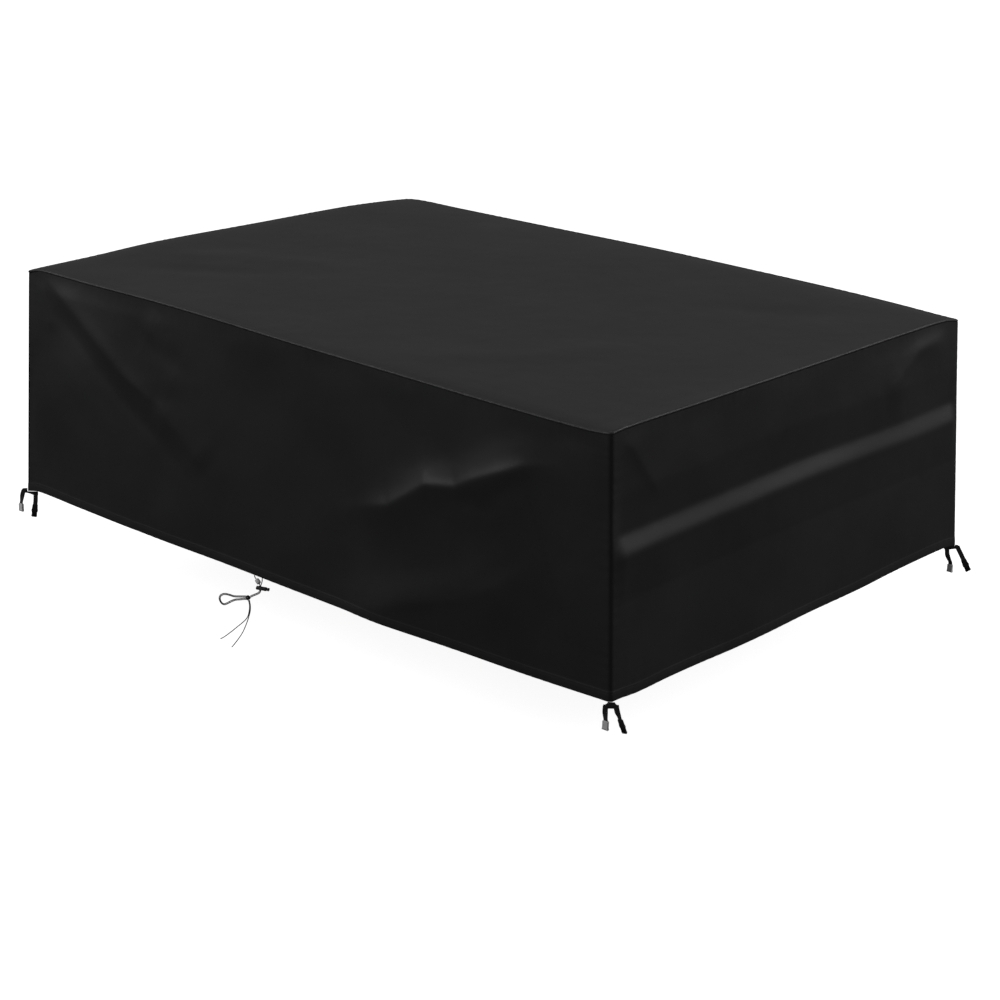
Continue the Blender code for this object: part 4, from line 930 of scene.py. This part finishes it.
def finish(name):
    """One of the cover's materials, made the first time that it is asked for."""
    if name in bpy.data.materials:
        return bpy.data.materials[name]
    cloth, cord, fittings = settings().cloth, settings().cord, settings().fittings
    build, *values = {
        "Coated cloth": (cloth_material, cloth.colour, cloth.weave),
        "Seam tape": (tape_material, cloth.tape),
        "Braided cord": (strand_material, cord.colour, cord.braid, 0.35 * MM),
        "Woven webbing": (strand_material, fittings.webbing, 1.4 * MM, 0.25 * MM, (2.5, 8.5)),
        "Grey plastic": (plastic_material, fittings.grey, 0.35),
        "Black plastic": (plastic_material, fittings.black, 0.32),
        "Pale plastic": (plastic_material, fittings.pale, 0.4),
    }[name]
    return build(name, *values)


# ---------------------------------------------------------------- cords
def cord_exit():
    """The point that the drawcord is measured from, under the middle of the front hem's thickness."""
    along = np.array([EXIT_ALONG])
    plan, out = outline(0, along, np.ones(1))
    x, y = (plan - out * (SHEET + HEM_EXTRA) / 2)[0]
    return Vector((x, y, read_table(SIDES[0].hem, along)[0] - EXIT_DROP))


def hanging(point):
    """A drawcord point from its millimetres along +X, towards -Y and up."""
    along, towards, up = point
    return cord_exit() + Vector((along, -towards, up)) * MM


def beside(points, offset):
    """A line that runs beside another, in the plane across LOCK_DEPTH_AXIS."""
    result = []
    for k, point in enumerate(points):
        tangent = points[min(k + 1, len(points) - 1)] - points[max(k - 1, 0)]
        result.append(point + tangent.cross(LOCK_DEPTH_AXIS).normalized() * offset)
    return result


def outside_knot(line):
    """The stretch of a line from the edge of the knot's inner turns on."""
    centre = hanging(KNOT_CENTRE)
    reach = 0.75 * KNOT_SEMI_AXES

    def clear(point):
        return np.linalg.norm(np.array(point - centre) / reach) > 1.0

    return [point for point in line if clear(point)]


def add_cord(name, line):
    line = evenly(line, PIECE_STEP)
    verts, faces, uvs = sweep(tube_rings(line, CORD_RADIUS, CORD_SIDES))
    piece = add_object(name, verts, faces, finish("Braided cord"), uvs)
    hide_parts(name)
    return piece


class COVER_OT_cords(bpy.types.Operator):
    """Lays the drawcord's strands, loop and ends along their routes"""

    bl_idname = "cover.cords"
    bl_label = "Drawcord"

    def execute(self, context):
        below = spline_through([hanging(p) for p in STRANDS_BELOW_LOCK], CORD_STEP)
        for number, offset in (("1", -PAIR_OFFSET), ("2", PAIR_OFFSET)):
            above = [hanging(p) for p in STRAND_ABOVE_LOCK[number]]
            line = spline_through(above + beside(below, offset)[::12], CORD_STEP)
            add_cord("cord_strand_" + number, outside_knot(line))
        loop = spline_through([hanging(p) for p in LOOP], CORD_STEP)
        for number, offset in (("1", PAIR_OFFSET), ("2", -PAIR_OFFSET)):
            add_cord("cord_loop_" + number, outside_knot(beside(loop, offset)))
        for number, route in ENDS.items():
            line = spline_through([hanging(p) for p in route], CORD_STEP)
            add_cord("cord_end_" + number, outside_knot(line))
        return {"FINISHED"}


# ---------------------------------------------------------------- cloth pieces
class COVER_OT_walls(bpy.types.Operator):
    """Makes the four hanging walls, each with its turned hem"""

    bl_idname = "cover.walls"
    bl_label = "Walls"

    def execute(self, context):
        for index, side in enumerate(SIDES):
            piece = self.wall(index, side)
            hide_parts("panel_" + side.name)
        return {"FINISHED"}

    def wall(self, index, side):
        crease = settings().cloth.crease
        columns = columns_of(index, CELL[side.name])
        top = read_table(side.crown, columns) - WALL_DROP
        hem = read_table(side.hem, columns)
        start = hem + HEM_ROWS[0][0] * MM
        levels = round((top - start).mean() / CELL[side.name])
        shares = np.linspace(0.0, 1.0, levels + 1)[:-1, None]
        heights = np.concatenate([top + (start - top) * shares] + [hem[None] + up * MM for up, _, _ in HEM_ROWS])
        flat = np.zeros(levels)
        extra = np.concatenate([flat, [share * HEM_EXTRA for _, share, _ in HEM_ROWS]])[:, None, None]
        bulge = np.concatenate([flat, [out * MM for _, _, out in HEM_ROWS]])[:, None, None]
        along = np.broadcast_to(columns, heights.shape)
        point = wall_point(index, along, heights, crease)
        step = 1.5 * MM
        upward = (wall_point(index, along, heights + step, crease)
                  - wall_point(index, along, heights - step, crease))
        across = (wall_point(index, along + step, heights, crease)
                  - wall_point(index, along - step, heights, crease))
        normal = unit(np.cross(across, upward))
        outer = point + normal * bulge
        inner = point - normal * (SHEET + extra)
        inner[0, :, 2] -= 1.3 * MM
        uvs = np.stack([along, heights - hem], axis=-1)
        return sheet_object("wall_" + side.name, outer, inner, uvs, finish("Coated cloth"))


class COVER_OT_top(bpy.types.Operator):
    """Makes the top panel, slightly dished, with soft tension folds"""

    bl_idname = "cover.top"
    bl_label = "Top panel"

    def execute(self, context):
        us, vs = columns_of(0, CELL["top"]), columns_of(1, CELL["top"])
        front = rim_point(0, us)
        right = rim_point(1, vs)
        back = rim_point(2, (1 - us / SIDES[0].length) * SIDES[2].length)
        left = rim_point(3, (1 - vs / SIDES[1].length) * SIDES[3].length)
        u = ((us - us[0]) / (us[-1] - us[0]))[None, :, None]
        v = ((vs - vs[0]) / (vs[-1] - vs[0]))[:, None, None]
        flat = (front[0] * (1 - u) * (1 - v) + front[-1] * u * (1 - v) + back[0] * (1 - u) * v
                + back[-1] * u * v)
        upper = front[None] * (1 - v) + back[None] * v + left[:, None] * (1 - u) + right[:, None] * u - flat
        middle = [rim_point(i, [SIDES[i].length / 2])[0] for i in range(4)]
        corners = (front[0] + front[-1] + back[0] + back[-1]) / 4
        dish = (sum(middle) / 2 - corners)[2] - SHEET
        inland = 16 * (u * (1 - u) * v * (1 - v))[..., 0]
        place = upper[..., :2]
        rise = sum(fold_height(place, fold.rise, fold.width, fold.route) for fold in TOP_FOLDS)
        edge = np.minimum(np.minimum(u, 1 - u) * SIDES[0].length, np.minimum(v, 1 - v) * SIDES[1].length)[..., 0]
        pucker = ripple(place[..., 0], 2) + ripple(place[..., 1], 4)
        upper[..., 2] += (np.minimum(1, 3 * inland) * rise - dish * inland
                          + 0.6 * PUCKER * pucker * np.exp(-edge / PUCKER_REACH) * ease(edge / 0.01))
        lower = upper - np.array((0, 0, SHEET))
        piece = sheet_object("top", upper[::-1], lower[::-1], place[::-1] + 3.0, finish("Coated cloth"))
        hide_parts("panel_top")
        return {"FINISHED"}


class COVER_OT_welt(bpy.types.Operator):
    """Makes the taped seam ridge round the top edge"""

    bl_idname = "cover.welt"
    bl_label = "Seam welt"

    sides = 10

    def execute(self, context):
        rings, uvs = [], []
        walked = 0.0
        for index, side in enumerate(SIDES):
            columns = columns_of(index, 5.0 * MM)[:-1]
            plan, out = outline(index, columns, np.zeros_like(columns))
            wobble = 0.45 * MM * ripple(columns, index + 2)
            crown = read_table(side.crown, columns) - WELT_RADIUS
            for k in range(self.sides):
                turn = math.tau * k / self.sides
                reach = WELT_RADIUS * math.cos(turn) - WELT_INSET + wobble
                rise = crown + (WELT_RADIUS + 0.6 * wobble) * math.sin(turn)
                rings.append(np.concatenate([plan + out * reach[:, None], rise[:, None]], axis=-1))
                uvs.append(np.stack([walked + columns, np.full_like(columns, turn * WELT_RADIUS)], axis=-1))
            walked += side.length
        blocks = [np.stack(rings[i * self.sides:(i + 1) * self.sides], axis=1) for i in range(4)]
        places = [np.stack(uvs[i * self.sides:(i + 1) * self.sides], axis=1) for i in range(4)]
        verts, places = np.concatenate(blocks), np.concatenate(places)
        count = len(verts)
        index = np.arange(count * self.sides).reshape(count, self.sides)
        following, turned = np.roll(index, -1, axis=0), np.roll(index, -1, axis=1)
        faces = np.stack([index, following, np.roll(following, -1, axis=1), turned], axis=-1).reshape(-1, 4)
        piece = add_object("seam_ridge", verts.reshape(-1, 3), faces, finish("Seam tape"), places.reshape(-1, 2))
        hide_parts("seam_welt")
        return {"FINISHED"}


# ---------------------------------------------------------------- corner fittings
def fitting_place(corner, across, depth, up):
    """A point near a hem corner, from millimetres along SPREAD, FACING and UP."""
    side = next(side for side in SIDES if side.first == corner)
    start = Vector((*CORNERS[corner].hem, side.hem[0][1]))
    return start + (SPREAD * across + FACING * depth + UP * up) * MM


def strap_route(strap):
    """The strap's middle line, the heading of its lower end and the width direction at both ends."""
    tab = next(tab for tab in TABS if tab.corner == strap.corner)
    depth = tab.depth + tab.outward * STRAP_OFF_TAB
    points = [fitting_place(strap.corner, x, depth, z) for x, z in strap.route]
    if strap.half == "socket":
        heading = -UP
        across = Vector((1.0, 0.0, 0.0))
    else:
        heading = (points[-1] - points[-2]).normalized()
        swing = Matrix.Rotation(math.radians(strap.turn), 3, heading)
        across = swing @ heading.cross(FACING).normalized()
    points.append(points[-1] + heading * POCKET_DEPTH * MM)
    start = (points[1] - points[0]).normalized()
    return points, heading, start.cross(FACING).normalized(), across


class COVER_OT_straps(bpy.types.Operator):
    """Makes the webbing tab at each hem corner and the two straps sewn to it"""

    bl_idname = "cover.straps"
    bl_label = "Tabs and straps"

    def execute(self, context):
        webbing = finish("Woven webbing")
        for tab in TABS:
            self.tab(tab, webbing)
        for strap in STRAPS:
            self.strap(strap, webbing)
        return {"FINISHED"}

    def tab(self, tab, webbing):
        turn = -1 if tab.mirrored else 1
        place = axes(fitting_place(tab.corner, 0.0, tab.depth, 0.0), SPREAD, UP)
        shape = rounded([(x * turn, y) for x, y in tab.outline], 2.0)
        piece = plate_object("tab_" + tab.corner, shape, TAB_EDGE, place, webbing)
        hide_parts("corner_tab_" + tab.corner)

    def strap(self, strap, webbing):
        points, heading, first_across, last_across = strap_route(strap)
        line = spline_through(points, PIECE_STEP)
        if first_across.dot(last_across) < 0:
            last_across = -last_across
        rings = []
        last = len(line) - 1
        for k, point in enumerate(line):
            tangent = heading if k == last else (line[k + 1] - line[max(k - 1, 0)]).normalized()
            across = first_across.lerp(last_across, ease((k / last - 0.3) / 0.5))
            across = (across - tangent * across.dot(tangent)).normalized()
            side, face = across * STRAP_WIDTH / 2 * MM, tangent.cross(across) * STRAP_THICKNESS / 2 * MM
            rings.append([point + side * x + face * y for x, y in STRAP_SECTION])
        verts, faces, uvs = sweep(rings)
        piece = add_object(f"webbing_{strap.half}_{strap.corner}", verts, faces, webbing, uvs)
        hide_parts(f"strap_{strap.half}_{strap.corner}")


class COVER_OT_buckles(bpy.types.Operator):
    """Makes the socket half and the tongue half of the buckle at each hem corner"""

    bl_idname = "cover.buckles"
    bl_label = "Buckles"

    def execute(self, context):
        # The sockets' pale finish is a painted reflection on glossy black plastic.
        finishes = {"socket": finish("Grey plastic"), "tongue": finish("Black plastic")}
        halves = {"socket": (SOCKET_HALF_OUTLINE, SOCKET_EDGE, SOCKET_CUTS, 1.4),
                  "tongue": (TONGUE_HALF_OUTLINE, TONGUE_EDGE, TONGUE_CUTS, 0.8)}
        for strap in STRAPS:
            half_outline, edge, boxes, radius = halves[strap.half]
            points, heading, _, across = strap_route(strap)
            place = axes(points[-2], across, -heading)
            right = [(x, -y) for x, y in half_outline[1:-1]]
            shape = right + [(0.0, -half_outline[-1][1])] + [(-x, y) for x, y in reversed(right)]
            name = f"{strap.half}_{strap.corner}"
            piece = plate_object(name, rounded(shape, radius), edge, place, finishes[strap.half])
            cut_boxes(piece, place, boxes)
            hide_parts("buckle_" + name)
        return {"FINISHED"}


class COVER_OT_cord_fittings(bpy.types.Operator):
    """Makes the drawcord's knot, its bead and the spring lock with its button"""

    bl_idname = "cover.cord_fittings"
    bl_label = "Cord fittings"

    def execute(self, context):
        black = finish("Black plastic")
        self.knot()
        across = Vector((0.0, 1.0, 0.0))
        place = axes(hanging(BEAD_CENTRE), across.cross(BEAD_AXIS).normalized(), across)
        section = rounded(BEAD_PROFILE[:-1], 0.9)
        turns = [math.tau * k / BEAD_SIDES for k in range(BEAD_SIDES)]
        rings = [set_in(place, [(r * math.cos(a), r * math.sin(a), z) for r, z in section]) for a in turns]
        bead = add_object("bead", *sweep(rings, closed=True)[:2], finish("Pale plastic"))
        place = axes(hanging(LOCK_CENTRE), LOCK_AXIS, LOCK_AXIS.cross(UP) * -1.0)
        body = barrel_object("lock_barrel", LOCK_BODY_ROWS, place, black, BODY)
        cut_boxes(body, place, [BODY_SLOT])
        button = barrel_object("lock_plunger", BUTTON_ROWS, place, black, "lock_button")
        cut_boxes(button, place, [BUTTON_SLOT])
        for piece, node, slot in ((bead, "cord_bead", "pale_plastic"), (body, "cord_lock_body", "black_plastic"),
                                  (button, "cord_lock_button", "black_plastic")):
            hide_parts(node)
        return {"FINISHED"}

    def knot(self):
        """An overhand knot in the doubled cord: two cords side by side round one three-lobed path."""
        centre = hanging(KNOT_CENTRE)
        turns = np.linspace(0.0, math.tau, 97)[:-1]
        x = KNOT_SPAN[0] * (np.sin(turns) + 2.0 * np.sin(2.0 * turns))
        y = KNOT_SPAN[1] * np.sin(3.0 * turns)
        z = KNOT_SPAN[2] * (np.cos(turns) - 2.0 * np.cos(2.0 * turns)) + KNOT_RISE
        line = [centre + Vector(p) * MM for p in zip(x, y, z)]
        verts, faces, uvs = [], [], []
        for offset in (-KNOT_PAIR, KNOT_PAIR):
            path = []
            for k, point in enumerate(line):
                tangent = line[(k + 1) % len(line)] - line[k - 1]
                path.append(point + tangent.cross(Vector((0.0, 1.0, 0.0))).normalized() * offset * MM)
            more, loops, places = sweep(tube_rings(path, KNOT_CORD, KNOT_SIDES), closed=True)
            faces += [[corner + KNOT_SIDES * len(path) * (offset > 0) for corner in face] for face in loops]
            verts.append(more)
            uvs.append(places)
        piece = add_object("knot", np.concatenate(verts), faces, finish("Braided cord"), np.concatenate(uvs))
        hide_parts("cord_knot")


# ---------------------------------------------------------------- camera and stage
class COVER_OT_camera(bpy.types.Operator):
    """Places the camera at the photograph's viewing angle"""

    bl_idname = "cover.camera"
    bl_label = "Camera"

    def execute(self, context):
        data = bpy.data.cameras.new("camera")
        data.lens = CAMERA_LENS
        data.sensor_width = 36.0
        data.clip_end = 200.0
        back = CAMERA_RIGHT.cross(CAMERA_UP).normalized()
        camera = bpy.data.objects.new("camera", data)
        turn = Matrix((CAMERA_RIGHT, back.cross(CAMERA_RIGHT), back)).transposed().to_4x4()
        camera.matrix_world = Matrix.Translation(CAMERA_PLACE) @ turn
        context.scene.collection.objects.link(camera)
        context.scene.camera = camera
        return {"FINISHED"}


class COVER_OT_stage(bpy.types.Operator):
    """Makes the pale floor and the soft studio light"""

    bl_idname = "cover.stage"
    bl_label = "Stage"

    def execute(self, context):
        stage = settings().stage
        floor_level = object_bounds()[0][2] - stage.floor_drop
        mesh = bpy.data.meshes.new("floor")
        corners = ((-1, -1), (1, -1), (1, 1), (-1, 1))
        mesh.from_pydata([(x * FLOOR_HALF, y * FLOOR_HALF, floor_level) for x, y in corners], [], [(0, 1, 2, 3)])
        material = bpy.data.materials.new("floor")
        material.use_nodes = True
        shader = material.node_tree.nodes["Principled BSDF"]
        for label, value in (("Base Color", (0.75, 0.75, 0.75, 1.0)), ("Roughness", 0.9),
                             ("Emission Color", (1.0, 1.0, 1.0, 1.0)), ("Emission Strength", FLOOR_GLOW)):
            shader.inputs[label].default_value = value
        mesh.materials.append(material)
        floor = bpy.data.objects.new("floor", mesh)
        # The floor's own light and reflection would flatten the folds of the walls.
        floor.visible_diffuse = False
        floor.visible_glossy = False
        context.scene.collection.objects.link(floor)
        floor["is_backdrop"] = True
        context.scene.world = self.world(stage)
        context.scene.view_settings.view_transform = "Standard"
        for name, (place, aim) in PANELS.items():
            self.panel(context, name, place, aim, getattr(stage, name))
        return {"FINISHED"}

    def world(self, stage):
        """Even light, bright above the horizon and dim below it."""
        world = bpy.data.worlds.new("studio")
        world.use_nodes = True
        tree = world.node_tree
        place = tree.nodes.new("ShaderNodeTexCoord").outputs["Generated"]
        height = add_node(tree, "SeparateXYZ", Vector=place).outputs["Z"]
        level = add_node(tree, "MapRange", Value=height, From_Min=-0.03, From_Max=0.03, To_Min=stage.ground,
                         To_Max=stage.sky)
        background = tree.nodes["Background"]
        background.inputs["Color"].default_value = (1.0, 1.0, 1.0, 1.0)
        tree.links.new(level.outputs["Result"], background.inputs["Strength"])
        return world

    def panel(self, context, name, place, aim, power):
        data = bpy.data.lights.new(name, "AREA")
        data.size = PANEL_SIZE
        data.energy = power
        light = bpy.data.objects.new(name, data)
        light.location = place
        light.rotation_euler = (Vector(aim) - Vector(place)).to_track_quat("-Z", "Y").to_euler()
        light.visible_camera = False
        context.scene.collection.objects.link(light)


# ---------------------------------------------------------------- panel and registration
class CoverSettings(bpy.types.PropertyGroup):
    cloth: PointerProperty(type=ClothSettings)
    cord: PointerProperty(type=CordSettings)
    fittings: PointerProperty(type=FittingSettings)
    stage: PointerProperty(type=StageSettings)


OPERATORS = (COVER_OT_camera, COVER_OT_cords, COVER_OT_walls, COVER_OT_top, COVER_OT_welt, COVER_OT_straps,
             COVER_OT_buckles, COVER_OT_cord_fittings, COVER_OT_stage)


class VIEW3D_PT_cover(bpy.types.Panel):
    bl_label = "Patio furniture cover"
    bl_space_type = "VIEW_3D"
    bl_region_type = "UI"
    bl_category = "Cover"

    def draw(self, context):
        for group in (settings().cloth, settings().cord, settings().fittings, settings().stage):
            for name in group.__annotations__:
                self.layout.prop(group, name)
        for operator in OPERATORS:
            self.layout.operator(operator.bl_idname)


CLASSES = (ClothSettings, CordSettings, FittingSettings, StageSettings, CoverSettings, *OPERATORS,
           VIEW3D_PT_cover)


def register():
    for cls in CLASSES:
        bpy.utils.register_class(cls)
    bpy.types.Scene.cover = PointerProperty(type=CoverSettings)


def unregister():
    del bpy.types.Scene.cover
    for cls in reversed(CLASSES):
        bpy.utils.unregister_class(cls)


def main():
    register()
    for operator in OPERATORS:
        group, name = operator.bl_idname.split(".")
        getattr(getattr(bpy.ops, group), name)()


if __name__ == "__main__":
    main()
